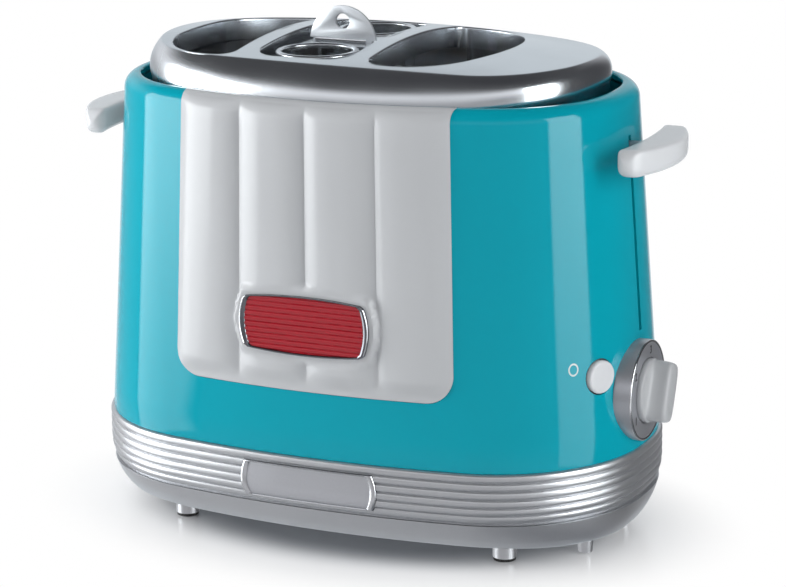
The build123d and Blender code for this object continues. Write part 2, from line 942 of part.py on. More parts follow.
def card_spans():
    return [(-card_half_length, -beam_gate - 1), (beam_gate + 1, card_half_length)]


def make_heater_card(x):
    half = card_thickness / 2
    cards = []
    for y0, y1 in card_spans():
        cards.append(block(x - half, x + half, y0, y1, floor_top, top_plate_z))
    return Compound(cards)


def make_heater_wire(x):
    """Flat resistance strip wound round both halves of the card."""
    half = card_thickness / 2
    thick = heater_strip_thickness
    low = floor_top + 14
    step = (top_plate_z - 14 - low) / (heater_turns - 1)
    turns = []
    for y0, y1 in card_spans():
        for i in range(heater_turns):
            z = low + step * i - heater_strip_height / 2
            high = z + heater_strip_height
            turn = block(x - half - thick, x + half + thick, y0 - thick, y1 + thick, z, high)
            turns.append(turn - block(x - half, x + half, y0, y1, z, high))
    return Compound(turns)


def make_sausage_reflector(side):
    y = side * (sausage_slot_length / 2 + cover_wall)
    y0, y1 = sorted((y, y + side * liner_wall))
    x0 = heater_left_x + card_thickness / 2 + 1
    x1 = heater_right_x - card_thickness / 2 - 1
    return block(x0, x1, y0, y1, floor_top, top_plate_z)


def make_guide_rod(x):
    return post(x, rod_y, floor_top, top_plate_z, rod_radius)


def make_lift_spring(x):
    height = slider_rest_z - floor_top - 2 * spring_wire_radius - body_gap
    pitch = height / spring_turns
    path = Helix(pitch=pitch, height=height, radius=spring_radius)
    section = Plane(origin=path @ 0, z_dir=path % 0) * Circle(spring_wire_radius)
    coil = sweep(section, path=path)
    return Pos(x, rod_y, floor_top + spring_wire_radius) * coil


# Control bay


def magnet_top():
    return armature_rest_z - carriage_travel - magnet_gap


def make_magnet_core():
    x = rod_right_x
    y0, y1 = magnet_front_y, magnet_back_y
    width = 4.0
    core = block(x - width, x + width, y0 - 4, y1 + 4, floor_top, floor_top + 4)
    for y in (y0, y1):
        core += block(x - width, x + width, y - 2, y + 2, floor_top, magnet_top())
    return core


def make_magnet_coil():
    x = rod_right_x
    low = floor_top + 6
    high = magnet_top() - 4
    coil = post(x, magnet_front_y, low, high, coil_radius)
    return coil - block(x - 4.1, x + 4.1, magnet_front_y - 2.1, magnet_front_y + 2.1, low, high)


def board_z():
    return floor_top + board_bottom_rise


def make_control_board():
    low = board_z()
    x1 = board_x + board_thickness
    board = block(board_x, x1, board_front_y, board_back_y, low, low + board_height)
    for y, z in standoff_places():
        board -= bar_x(y, z, board_x, x1, 1.3)
    return board - bar_x(knob_y, knob_z, board_x, x1, 3.3)


def standoff_places():
    low = board_z() + 5
    high = board_z() + board_height - 5
    return [(board_front_y + 5, low), (board_front_y + 5, high)]


def make_board_standoffs():
    start = end_plate_right_x + sheet / 2
    posts = []
    for y, z in standoff_places():
        stud = bar_x(y, z, start, board_x, standoff_radius)
        stud += bar_x(y, z, board_x, board_x + board_thickness + 2, 1.2)
        posts.append(stud)
    return Compound(posts)


def make_potentiometer():
    x0 = board_x + board_thickness
    x1 = x0 + pot_depth
    pot = bar_x(knob_y, knob_z, x0, x1, pot_radius)
    pot += bar_x(knob_y, knob_z, x1, x1 + bush_length, bush_radius)
    return pot - bar_x(knob_y, knob_z, x0 + 2, x1 + bush_length, shaft_radius + run_gap)


def button_stem_length():
    """Stem from the cap's back to just short of the switch, at full press."""
    x, angle = button_place()
    turn = math.radians(angle)
    run = (x - board_x - board_thickness - switch_depth) / math.cos(turn)
    corner = button_stem_radius * abs(math.tan(turn))
    return run - button_depth - button_travel - corner - body_gap


def make_stop_switch():
    x, angle = button_place()
    reach = button_depth + button_stem_length()
    y = button_y - reach * math.sin(math.radians(angle))
    x0 = board_x + board_thickness
    half = switch_size / 2
    return block(x0, x0 + switch_depth, y - half, y + half, button_z - half, button_z + half)


def make_terminal_block():
    x = board_x - 8
    y = terminal_front_y
    length = terminal_length
    body = block(x, x + terminal_width, y, y + length, floor_top, floor_top + terminal_height)
    for i in range(3):
        centre = y + length * (i + 0.5) / 3
        top = floor_top + terminal_height
        body -= post(x + terminal_width / 2, centre, top - 4, top, 2.0)
    return body


# Knob and dial


def make_dial():
    rim_x = dial_face_x + dial_rim_height
    back_x = dial_face_x - dial_depth
    dial = bar_x(knob_y, knob_z, back_x, rim_x, dial_radius)
    dial -= bar_x(knob_y, knob_z, dial_face_x, rim_x, dial_radius - dial_rim_width)
    dial -= bar_x(knob_y, knob_z, back_x, rim_x, bush_radius + slide_gap)
    return dial - body_solid(seat_gap / 3)


def make_knob():
    x0 = dial_face_x + body_gap
    base_x = x0 + knob_base_depth
    knob = bar_x(knob_y, knob_z, x0, base_x, knob_radius)
    half = grip_width / 2
    grip = block(base_x - 1, knob_reach_x, -half, half, -knob_radius, knob_radius)
    grip &= bar_x(0, 0, base_x - 1, knob_reach_x, knob_radius - slide_gap)
    grip = chamfer(grip.faces().sort_by(Axis.X)[-1].edges(), grip_edge)
    knob += Pos(0, knob_y, knob_z) * Rot(-grip_turn, 0, 0) * grip
    return knob - bar_x(knob_y, knob_z, x0, base_x + 3, shaft_radius)


def make_knob_shaft():
    start = board_x + board_thickness + 2.3
    end = dial_face_x + body_gap + knob_base_depth + 3
    return bar_x(knob_y, knob_z, start, end, shaft_radius)


def make_stop_button():
    cap = button_cylinder(button_radius, -button_depth, button_proud)
    cap = fillet(cap.edges().sort_by(Axis.X)[-1:], 0.8)
    end = button_depth + button_stem_length()
    return cap + button_cylinder(button_stem_radius, -end, -button_depth)


# Carriage


def leg_span(side):
    rod_x = rod_left_x if side < 0 else rod_right_x
    return sorted((rod_x - leg_width / 2, rod_x + leg_width / 2))


def make_lever_arm(side):
    x0, x1 = leg_span(side)
    half = arm_half_thickness
    top = stem_rest_z + stem_height
    arm = block(x0, x1, -half, half, beam_rest_z, top)
    s0, s1 = sorted((side * (handle_inner_x + handle_socket), x0 if side > 0 else x1))
    return arm + block(s0, s1, -half, half, stem_rest_z, top)


def make_lever_handle(side):
    """Crescent handle, hollowed on the side that faces the body."""
    tip = handle_tip_radius
    far = handle_half_length - tip
    inner = handle_inner_x
    reach = handle_width - tip
    bow = (reach**2 + far**2 - tip**2) / (2 * (reach - tip))
    bow_turn = math.atan2(far, bow - reach)
    hollow = (handle_hollow**2 + far**2) / (2 * handle_hollow) - tip
    hollow_turn = math.atan2(far, hollow + tip - handle_hollow)

    def tip_point(turn, end):
        return (inner + tip + tip * math.cos(turn), end * (far + tip * math.sin(turn)), 0)

    back_turn = math.pi + hollow_turn
    nose_turn = (back_turn + bow_turn) / 2
    back, nose, front = [tip_point(t, 1) for t in (back_turn, nose_turn, bow_turn)]
    far_back, far_nose, far_front = [tip_point(t, -1) for t in (back_turn, nose_turn, bow_turn)]
    edges = [
        Edge.make_three_point_arc(far_back, (inner + handle_hollow, 0, 0), back),
        Edge.make_three_point_arc(back, nose, front),
        Edge.make_three_point_arc(front, (handle_outer_x, 0, 0), far_front),
        Edge.make_three_point_arc(far_front, far_nose, far_back),
    ]
    plan = Face(Wire(edges))
    grip = extrude(plan, handle_height, dir=(0, 0, 1))
    grip = fillet(grip.faces().filter_by(Axis.Z).edges(), handle_edge_radius)
    low = stem_rest_z + stem_height / 2 - handle_height / 2
    grip = Pos(0, 0, low) * grip
    room = arm_half_thickness + seat_gap / 3
    z0 = stem_rest_z - seat_gap / 3
    z1 = stem_rest_z + stem_height + seat_gap / 3
    grip -= block(inner - 5, inner + handle_socket + seat_gap, -room, room, z0, z1)
    return grip if side > 0 else grip.mirror(Plane.YZ)


def make_slider(side):
    rod_x = rod_left_x if side < 0 else rod_right_x
    half = slider_width / 2 - 1
    y1 = 2 * rod_y - arm_half_thickness - 2
    top = slider_rest_z + slider_height
    body = block(rod_x - half, rod_x + half, arm_half_thickness, y1, slider_rest_z, top)
    return body - post(rod_x, rod_y, slider_rest_z, top, rod_radius + run_gap)


def make_carriage_beam():
    x0 = leg_span(-1)[1]
    x1 = leg_span(1)[0]
    half = beam_half_thickness
    return block(x0, x1, -half, half, beam_rest_z, rest_top_z)


def make_bun_rack(slot):
    """D-shaped slotted plate that lifts one bun."""
    side = slot.side
    low, high = rest_top_z, rest_top_z + rack_thickness
    start = slot.flat_x + side * (2 * guard_wire_radius + 1.4)
    rack = slot.prism(-rack_side_gap, low, high)
    x0, x1 = sorted((start, start - side * 20))
    rack -= block(x0, x1, -seam_half_width, seam_half_width, low, high)
    run = slot.width - rack_side_gap - 12
    for i in range(rack_slots):
        x = start + side * (4 + run * (i + 0.5) / rack_slots)
        long = slot.half_length - 14 - 9 * max(i - 1, 0)
        for y in (-long / 2 - 3, long / 2 + 3):
            cut = Pos(x, y, low) * SlotOverall(long, rack_slot_width, 90)
            rack -= extrude(cut, rack_thickness, dir=(0, 0, 1))
    return rack


def make_basket_platform():
    low, high = rest_top_z, rest_top_z + rack_thickness
    half = ring_spacing / 2 + 12
    plate = block(sausage_x - 14, sausage_x + 14, -half, half, low, high)
    for y in (-ring_spacing / 2, ring_spacing / 2):
        plate -= post(sausage_x, y, low, high, 9)
    return plate


def make_armature():
    x0, x1 = leg_span(1)
    y1 = -arm_half_thickness
    return block(x0, x1, y1 - armature_reach, y1, armature_rest_z, armature_rest_z + armature_thickness)


# Sausage basket


def ring_places():
    return (-ring_spacing / 2, ring_spacing / 2)


def make_basket_top():
    low = basket_top_z - ring_thickness
    top = block(
        sausage_x - web_half_width, sausage_x + web_half_width, -web_half_length, web_half_length,
        low, basket_top_z
    )
    for y in ring_places():
        top += post(sausage_x, y, low, basket_top_z, ring_outer_radius)
    for y in ring_places():
        top -= post(sausage_x, y, low, basket_top_z, ring_inner_radius)
    return top


def make_basket_tab():
    low = basket_top_z
    front = tab_y - tab_thickness / 2
    back = tab_y + tab_thickness / 2
    left, right = sausage_x - tab_radius, sausage_x + tab_radius
    tab = bar_y(sausage_x, low, front, back, tab_radius)
    tab -= block(left, right, front, back, low - tab_radius, low)
    return tab - bar_y(sausage_x, low + tab_hole_rise, front, back, tab_hole_radius)


def cup_floor_z():
    return rest_top_z + rack_thickness + body_gap


def cage_radius():
    """Radius of the circle that the cage's wires stand on."""
    return ring_inner_radius + 1.25 * cage_wire_radius


def make_basket_cage():
    """Upright wires round each cup, tied by hoops."""
    low = cup_floor_z() + cup_floor_thickness
    high = basket_top_z - ring_thickness
    wire_r = cage_radius()
    cages = []
    for y in ring_places():
        cage = None
        for i in range(cage_wires):
            turn = 2 * math.pi * (i + 0.5) / cage_wires
            wx = sausage_x + wire_r * math.cos(turn)
            wire = post(wx, y + wire_r * math.sin(turn), low, high, cage_wire_radius)
            cage = wire if cage is None else cage + wire
        for i in range(cage_hoops):
            z = low + (high - low) * (i + 1) / (cage_hoops + 1)
            cage += Pos(sausage_x, y, z) * Torus(wire_r, cage_wire_radius)
        cages.append(cage)
    return Compound(cages)


def make_cup_floors():
    low = cup_floor_z()
    floors = []
    for y in ring_places():
        plate = post(sausage_x, y, low, low + cup_floor_thickness, cage_radius() + cage_wire_radius)
        floors.append(plate - post(sausage_x, y, low, low + cup_floor_thickness, cup_floor_hole))
    return Compound(floors)


nodes = {
    "base_ring": make_base_ring(),
    "base_pan": make_base_pan(),
    "badge_plate": make_badge(),
    "feet": make_feet(),
    "foot_pads": make_foot_pads(),
    "cord_pegs": make_cord_pegs(),
    "base_screws": make_base_screws(),
    "cord_gland": make_cord_gland(),
    "crumb_tray": make_crumb_tray(),
    "tray_rails": make_tray_rails(),
    "housing_shell": make_housing(),
    "front_panel": make_front_panel(),
    "emblem_frame": make_emblem_frame(),
    "emblem_plate": make_emblem_plate(),
    "top_cover": make_top_cover(),
    "chassis_floor": make_chassis_floor(),
    "chassis_top": make_chassis_top(),
    "chassis_end_left": make_end_plate(end_plate_left_x),
    "chassis_end_right": make_end_plate(end_plate_right_x),
    "bun_liner_left": make_bun_liner(left_slot),
    "bun_liner_right": make_bun_liner(right_slot),
    "bun_guard_left": make_bun_guard(left_slot),
    "bun_guard_right": make_bun_guard(right_slot),
    "heater_card_left": make_heater_card(heater_left_x),
    "heater_card_right": make_heater_card(heater_right_x),
    "heater_wire_left": make_heater_wire(heater_left_x),
    "heater_wire_right": make_heater_wire(heater_right_x),
    "sausage_reflector_front": make_sausage_reflector(-1),
    "sausage_reflector_rear": make_sausage_reflector(1),
    "guide_rod_left": make_guide_rod(rod_left_x),
    "guide_rod_right": make_guide_rod(rod_right_x),
    "lift_spring_left": make_lift_spring(rod_left_x),
    "lift_spring_right": make_lift_spring(rod_right_x),
    "magnet_core": make_magnet_core(),
    "magnet_coil": make_magnet_coil(),
    "control_board": make_control_board(),
    "board_standoffs": make_board_standoffs(),
    "potentiometer": make_potentiometer(),
    "stop_switch": make_stop_switch(),
    "terminal_block": make_terminal_block(),
    "knob_dial": make_dial(),
    "knob": make_knob(),
    "knob_shaft": make_knob_shaft(),
    "stop_button": make_stop_button(),
    "carriage_beam": make_carriage_beam(),
    "lever_arm_left": make_lever_arm(-1),
    "lever_arm_right": make_lever_arm(1),
    "lever_handle_left": make_lever_handle(-1),
    "lever_handle_right": make_lever_handle(1),
    "slider_left": make_slider(-1),
    "slider_right": make_slider(1),
    "bun_rack_left": make_bun_rack(left_slot),
    "bun_rack_right": make_bun_rack(right_slot),
    "basket_platform": make_basket_platform(),
    "latch_armature": make_armature(),
    "basket_top": make_basket_top(),
    "basket_tab": make_basket_tab(),
    "basket_cage": make_basket_cage(),
    "basket_cup_floors": make_cup_floors(),
}

os.makedirs("parts", exist_ok=True)
for name, shape in nodes.items():
    export_step(shape, f"parts/{name}.step")
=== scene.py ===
import json
import math

import bpy
from bpy.props import FloatProperty, FloatVectorProperty, IntProperty, PointerProperty
from mathutils import Matrix, Vector


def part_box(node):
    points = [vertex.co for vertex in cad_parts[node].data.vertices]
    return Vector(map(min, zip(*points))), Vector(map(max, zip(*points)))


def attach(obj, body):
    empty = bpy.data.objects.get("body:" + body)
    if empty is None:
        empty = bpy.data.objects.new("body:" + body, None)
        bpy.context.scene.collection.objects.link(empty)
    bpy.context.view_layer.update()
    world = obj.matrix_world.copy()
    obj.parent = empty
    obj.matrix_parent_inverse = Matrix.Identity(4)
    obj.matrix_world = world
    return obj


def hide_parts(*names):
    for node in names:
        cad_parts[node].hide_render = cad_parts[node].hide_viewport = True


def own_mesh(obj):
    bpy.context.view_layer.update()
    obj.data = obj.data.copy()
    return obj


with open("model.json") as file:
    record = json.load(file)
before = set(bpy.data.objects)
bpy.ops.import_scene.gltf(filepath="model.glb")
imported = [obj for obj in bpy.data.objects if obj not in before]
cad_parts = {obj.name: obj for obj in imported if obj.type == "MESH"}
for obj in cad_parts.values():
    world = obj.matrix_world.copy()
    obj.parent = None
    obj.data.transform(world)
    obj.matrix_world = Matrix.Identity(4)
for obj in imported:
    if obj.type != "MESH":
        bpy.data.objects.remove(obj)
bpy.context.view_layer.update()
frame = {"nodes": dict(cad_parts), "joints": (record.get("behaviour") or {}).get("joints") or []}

bl_info = {
    "name": "Hot dog toaster",
    "version": (1, 0, 0),
    "blender": (4, 5, 0),
    "location": "View3D > Sidebar > Toaster",
    "description": "Dresses an oval hot dog toaster: body, ribbed panel, steel cover, basket, dial",
    "category": "Object",
}

# Fixed forms of the moulded body, in metres. Each oval is half length, half width,
# corner inset, front bow and end bow; the heights are above the floor.
SEAM_OVAL = (0.135, 0.0827, 0.0107, 0.005, 0.00015)
RIM_OVAL = (0.1238, 0.0795, 0.0166, 0.0107, 0.0003)
SEAM_Z = 0.0491
RIM_Z = 0.2132
BASE_STEP = 0.0015
PAN_Z = 0.009
RING_Z = 0.0241
BASE_TUCK = 0.016
BASE_TUCK_HEIGHT = 0.026
PAN_END_TUCK = 0.5
PAN_END_X = (0.078, 0.130)
PAN_WALL = 0.0024
PAN_FLOOR_INSET = 0.03
SHOULDER = 0.0065
RIM_LIP = 0.0009
WALL = 0.003

# Ribbed ring: pitch and number of its ribs, and how far its top reaches in
RIB_PITCH = 0.00395
RIB_COUNT = 6
RING_SHELF = 0.0078

# Front panel: half widths at its foot and at the rim, foot over the seam, corner radius
PANEL_HALVES = (0.0704, 0.0668)
PANEL_FOOT = 0.0315
PANEL_CORNER = 0.013
RIB_POWER = 2.6

# Levers: the carriage's travel, the slots in the wall and the handles
LEVER_SLOT_X = 0.127
LEVER_SLOT_Z = (0.1026, 0.1935)
LEVER_SLOT_WIDTH = 0.003
HANDLE_HALF = 0.035
HANDLE_TIP = 0.005
HANDLE_HOLLOW = 0.002

# Steel cover: the same five sizes for its skirt, belt, bulge and deck edge
SKIRT_OVAL = (0.109, 0.0708, 0.014, 0.0076, 0.0004)
BELT_OVAL = (0.1098, 0.0714, 0.014, 0.0076, 0.0004)
BULGE_OVAL = (0.1105, 0.0686, 0.014, 0.0076, 0.0004)
DECK_OVAL = (0.1065, 0.0606, 0.0082, 0.0047, 0.0004)
SKIRT_Z = 0.1972
BELT_Z = 0.212
BULGE_Z = 0.221
CROWN_Z = 0.2332
CROWN_X = -0.0143
CROWN_ACROSS = 0.355
CROWN_ALONG = 1.2
COVER_WALL = 0.0012
DECK_EDGE = 0.0009
COLLAR_DEPTH = 0.0102
DECK_MIDDLE = 0.012

# Openings: flat side, side it bulges to, width, half length, tip bow, tip and flat radii
LEFT_SLOT = (-0.0496, -1, 0.045, 0.054, 0.0008, 0.037, 0.007)
RIGHT_SLOT = (0.0177, 1, 0.0506, 0.054, 0.024, 0.037, 0.008)
SAUSAGE_X = -0.0157
SAUSAGE_HALF_WIDTH = 0.0236
SAUSAGE_HALF_LENGTH = 0.053
SAUSAGE_CORNER = 0.012

DIAL_Y = -0.006
DIAL_Z = 0.076
DIAL_RADIUS = 0.0235
DIAL_RIM_HEIGHT = 0.0013
DIGIT_CIRCLE = 0.0187
DIGIT_FIRST = 126
DIGIT_SWEEP = 276
SHAFT_HOLE_RADIUS = 0.005
KNOB_RADIUS = 0.0149
GRIP_TURN = math.radians(22)
BUTTON_RADIUS = 0.0077
BUTTON_PROUD = 0.0018
STOP_SIGN_TURN = math.radians(-37.9)
STOP_SIGN_Z = 0.0948
STOP_SIGN_ACROSS = 0.88
GLAND_HOLE_RADIUS = 0.0062
GLAND_Z = 0.036

RING_SPACING = 0.065
RING_RADIUS = 0.01785
RING_HALF_WIDTH = 0.00145
TAB_RADIUS = 0.017
TAB_HOLE_RADIUS = 0.0036
TAB_HOLE_RISE = 0.0096
TAB_BEND = 0.0014


# Sizes and colours that a user may change


class ToasterSizes(bpy.types.PropertyGroup):
    rib_rise: FloatProperty(
        name="Panel rib rise", description="How far each upright rib of the panel swells",
        default=0.0033, min=0.0005, max=0.004, unit="LENGTH")
    panel_gap: FloatProperty(
        name="Panel seam", description="Gap between the panel and the body round it",
        default=0.00025, min=0.0001, max=0.001, unit="LENGTH")
    base_rib_depth: FloatProperty(
        name="Base groove depth", description="Depth of the grooves round the base",
        default=0.0011, min=0.0003, max=0.002, unit="LENGTH")
    rolled_edge: FloatProperty(
        name="Rolled edge", description="Radius of the rolled edge of each opening in the cover",
        default=0.0010, min=0.0004, max=0.002, unit="LENGTH")
    emblem_rib_pitch: FloatProperty(
        name="Emblem rib pitch", description="Height of one rib of the red plate",
        default=0.0025, min=0.001, max=0.004, unit="LENGTH")
    digit_size: FloatProperty(
        name="Digit size", description="Height of the digits on the dial",
        default=0.0052, min=0.003, max=0.007, unit="LENGTH")
    dial_steps: IntProperty(
        name="Dial steps", description="Number of browning steps printed on the dial",
        default=5, min=3, max=9)
    lamp_strength: FloatProperty(
        name="Lamp strength", description="Level of all the studio lamps together",
        default=1.0, min=0.1, max=4.0)


class ToasterColours(bpy.types.PropertyGroup):
    body: FloatVectorProperty(
        name="Body", description="Colour of the glossy body", subtype="COLOR", size=3,
        default=(0.001, 0.325, 0.415), min=0, max=1)
    white: FloatVectorProperty(
        name="White parts", description="Colour of the panel, levers, knob and button",
        subtype="COLOR", size=3, default=(0.65, 0.67, 0.69), min=0, max=1)
    silver: FloatVectorProperty(
        name="Silver lacquer", description="Colour of the base", subtype="COLOR", size=3,
        default=(0.56, 0.57, 0.59), min=0, max=1)
    steel: FloatVectorProperty(
        name="Steel", description="Colour of the cover and basket", subtype="COLOR", size=3,
        default=(0.70, 0.73, 0.76), min=0, max=1)
    red: FloatVectorProperty(
        name="Emblem red", description="Colour of the emblem's plate", subtype="COLOR", size=3,
        default=(0.34, 0.003, 0.012), min=0, max=1)


# Outlines


class Oval:
    """An oval of tangent arcs: bowed front and back, bowed ends, round corners."""

    front_steps = 22
    corner_steps = 30
    end_steps = 10

    def __init__(self, half_length, half_width, corner_inset, front_bow, end_bow):
        self.half_length = half_length
        self.half_width = half_width
        self.corner_inset = corner_inset
        self.front_bow = front_bow
        self.end_bow = end_bow

    def values(self):
        size = [self.half_length, self.half_width]
        return size + [self.corner_inset, self.front_bow, self.end_bow]

    def grown(self, offset):
        return Oval(self.half_length + offset, self.half_width + offset, *self.values()[2:])

    def blended(self, other, share):
        pairs = zip(self.values(), other.values())
        return Oval(*[a + (b - a) * share for a, b in pairs])

    def arcs(self):
        """Corner radius and centre, and the radii of the front and end arcs."""
        radius = self.half_width - self.corner_inset
        x = self.half_length - radius - self.end_bow
        y = self.front_bow - self.corner_inset
        front = radius + (x * x + self.front_bow**2) / (2 * self.front_bow)
        end = radius + (y * y + self.end_bow**2) / (2 * self.end_bow)
        return radius, x, y, front, end

    def width_at(self, x):
        radius, kx, ky, front, _ = self.arcs()
        if abs(x) < kx * front / (front - radius):
            return self.half_width - front + math.sqrt(front**2 - x * x)
        return -ky + math.sqrt(max(radius**2 - (abs(x) - kx) ** 2, 0))

    def quarter(self):
        """Points from the middle of the front to the middle of the +X end."""
        radius, kx, ky, front, end = self.arcs()
        front_y = front - self.half_width
        end_x = self.half_length - end
        turn_1 = math.atan2(ky - front_y, kx)
        turn_2 = math.atan2(ky, kx - end_x)
        points = arc((0, front_y), front, -math.pi / 2, turn_1, self.front_steps)
        points += arc((kx, ky), radius, turn_1, turn_2, self.corner_steps)
        return points + arc((end_x, 0), end, turn_2, 0, self.end_steps) + [(self.half_length, 0)]

    def points(self):
        """Points once round, from the middle of the front towards +X."""
        quarter = self.quarter()
        right = quarter + [(x, -y) for x, y in quarter[-2::-1]]
        return right + [(-x, y) for x, y in right[-2:0:-1]]


def arc(centre, radius, start, end, steps):
    """Points along an arc, without its last one."""
    turns = [start + (end - start) * i / steps for i in range(steps)]
    return [(centre[0] + radius * math.cos(t), centre[1] + radius * math.sin(t)) for t in turns]


def full_turn(steps):
    """Angles once round, without the last one."""
    return [2 * math.pi * i / steps for i in range(steps)]


def part_turn(end, steps):
    """Angles from 0 to an end, with both."""
    return [end * i / steps for i in range(steps + 1)]


def straight(start, end, steps):
    """Points along a line, without its last one."""
    shares = [i / steps for i in range(steps)]
    return [tuple(a + (b - a) * s for a, b in zip(start, end)) for s in shares]


def slot_points(slot, offset):
    """D-shaped outline of a bun slot, moved out by an offset."""
    flat, side, width, half, bow, tip_radius, flat_radius = slot
    half += offset
    tip_radius += offset
    flat_radius += offset
    left = -offset
    tip = width + offset
    tip_arc = (half * half + bow * bow) / (2 * bow)
    far_y = half - tip_radius
    far_x = tip - tip_arc + math.sqrt((tip_arc - tip_radius) ** 2 - far_y**2)
    turn = math.atan2(far_y, far_x - tip + tip_arc)
    near = (left + flat_radius, half - flat_radius)
    upper = arc((tip - tip_arc, 0), tip_arc, 0, turn, 12)
    upper += arc((far_x, far_y), tip_radius, turn, math.pi / 2, 22)
    upper += straight((far_x, half), (near[0], half), 2)
    upper += arc(near, flat_radius, math.pi / 2, math.pi, 10)
    upper += straight((left, near[1]), (left, 0), 12) + [(left, 0)]
    loop = upper + [(x, -y) for x, y in upper[-2:0:-1]]
    return [(flat + side * x, y) for x, y in loop]


def sausage_points(offset):
    """Round-cornered outline of the middle opening, moved out by an offset."""
    x = SAUSAGE_HALF_WIDTH - SAUSAGE_CORNER
    y = SAUSAGE_HALF_LENGTH - SAUSAGE_CORNER
    radius = SAUSAGE_CORNER + offset
    loop = []
    for i, (cx, cy) in enumerate(((x, -y), (x, y), (-x, y), (-x, -y))):
        start = (i - 1) * math.pi / 2
        loop += arc((cx, cy), radius, start, start + math.pi / 2, 10)
        end = arc((cx, cy), radius, start + math.pi / 2, start + math.pi / 2, 1)[0]
        follow = ((x, y), (-x, y), (-x, -y), (x, -y))[i]
        next_start = arc(follow, radius, start + math.pi / 2, start + math.pi / 2, 1)[0]
        loop += straight(end, next_start, 10)
    return [(px + SAUSAGE_X, py) for px, py in loop]


def crown(x, y):
    """Height of the cover's domed deck."""
    return CROWN_Z - y * y / (2 * CROWN_ACROSS) - (x - CROWN_X) ** 2 / (2 * CROWN_ALONG)


def body_oval(z):
    """Outline of the body at a height."""
    return Oval(*SEAM_OVAL).blended(Oval(*RIM_OVAL), (z - SEAM_Z) / (RIM_Z - SEAM_Z))


def base_offset(z):
    """How far the base tucks in at a height."""
    drop = max(PAN_Z + BASE_TUCK_HEIGHT - z, 0)
    return BASE_STEP - BASE_TUCK * (drop / BASE_TUCK_HEIGHT) ** 2


def pan_loop(z, inset=0.0):
    """Loop of the lower pan's wall, which stays fuller towards its two ends."""
    seam = Oval(*SEAM_OVAL)
    offset = base_offset(z)
    middle = oval_loop(seam.grown(offset - inset), z)
    ends = oval_loop(seam.grown(BASE_STEP + (offset - BASE_STEP) * PAN_END_TUCK - inset), z)
    loop = []
    for near, far in zip(middle, ends):
        share = smooth_step(abs(near[0]), *PAN_END_X)
        loop.append(tuple(a + (b - a) * share for a, b in zip(near, far)))
    return loop


def smooth_step(value, low, high):
    share = min(max((value - low) / (high - low), 0), 1)
    return share * share * (3 - 2 * share)


# Modelling


def deselect():
    if bpy.context.object and bpy.context.object.mode != "OBJECT":
        bpy.ops.object.mode_set(mode="OBJECT")
    bpy.ops.object.select_all(action="DESELECT")


def choose(obj):
    deselect()
    obj.select_set(True)
    bpy.context.view_layer.objects.active = obj


def weld(obj, fill=False):
    """Merges meeting points, closes open ends if asked, and turns the faces outwards."""
    choose(obj)
    bpy.ops.object.mode_set(mode="EDIT")
    bpy.ops.mesh.select_all(action="SELECT")
    bpy.ops.mesh.remove_doubles(threshold=0.000002)
    if fill:
        bpy.ops.mesh.fill_holes(sides=0)
    bpy.ops.mesh.select_all(action="SELECT")
    bpy.ops.mesh.normals_make_consistent(inside=False)
    bpy.ops.object.mode_set(mode="OBJECT")


def loops_to_mesh(name, loops, fill=False):
    """A grid primitive whose rows are laid on closed loops of points and joined up."""
    around = len(loops[0])
    rows = len(loops)
    deselect()
    bpy.ops.mesh.primitive_grid_add(x_subdivisions=around, y_subdivisions=rows - 1, size=2)
    obj = bpy.context.object
    obj.name = name
    for vertex in obj.data.vertices:
        column = round((vertex.co.x + 1) / 2 * around) % around
        row = round((vertex.co.y + 1) / 2 * (rows - 1))
        vertex.co = loops[row][column]
    weld(obj, fill)
    return obj


def patch(name, columns, rows, place):
    """A grid primitive laid on a surface: place(across, up) with both from 0 to 1."""
    deselect()
    bpy.ops.mesh.primitive_grid_add(x_subdivisions=columns, y_subdivisions=rows, size=2)
    obj = bpy.context.object
    obj.name = name
    for vertex in obj.data.vertices:
        vertex.co = place((vertex.co.x + 1) / 2, (vertex.co.y + 1) / 2)
    return obj


def modify(obj, kind, **settings):
    """Adds one modifier, sets it and applies it."""
    choose(obj)
    modifier = obj.modifiers.new(kind.title(), kind)
    for key, value in settings.items():
        setattr(modifier, key, value)
    bpy.ops.object.modifier_apply(modifier=modifier.name)


def thicken(obj, thickness):
    modify(obj, "SOLIDIFY", thickness=thickness, offset=-1, use_even_offset=True)


def plate(name, columns, rows, place, thickness):
    """A patch turned to the front and given a thickness."""
    obj = patch(name, columns, rows, place)
    weld(obj)
    if obj.data.polygons[0].normal.y > 0:
        obj.data.flip_normals()
    thicken(obj, thickness)
    return obj


def soften(obj, width, segments, angle):
    modify(obj, "BEVEL", width=width, segments=segments, limit_method="ANGLE",
           angle_limit=math.radians(angle), harden_normals=False)


def cut(obj, *cutters):
    for cutter in cutters:
        modify(obj, "BOOLEAN", operation="DIFFERENCE", solver="EXACT", object=cutter)
        bpy.data.objects.remove(cutter, do_unlink=True)


def join(name, pieces):
    deselect()
    for piece in pieces:
        piece.select_set(True)
    bpy.context.view_layer.objects.active = pieces[0]
    bpy.ops.object.join()
    pieces[0].name = name
    return pieces[0]


def settle(obj):
    """Puts an object's place, turn and scale into its mesh."""
    choose(obj)
    bpy.ops.object.transform_apply(location=True, rotation=True, scale=True)


def finish(obj, body, material, slot, *nodes, angle=35):
    """Smooths a piece, gives it its finish, hangs it on the body it rides on and hides the CAD
    nodes it stands for.
    """
    settle(obj)
    bpy.ops.object.shade_smooth_by_angle(angle=math.radians(angle))
    obj.data.materials.clear()
    obj.data.materials.append(material)
    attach(obj, body)
    if nodes:
        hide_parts(*nodes)
    return obj


def dress(material, *nodes):
    """Gives CAD nodes a material."""
    for node in nodes:
        obj = frame["nodes"][node]
        for slot in obj.material_slots:
            slot.material = material


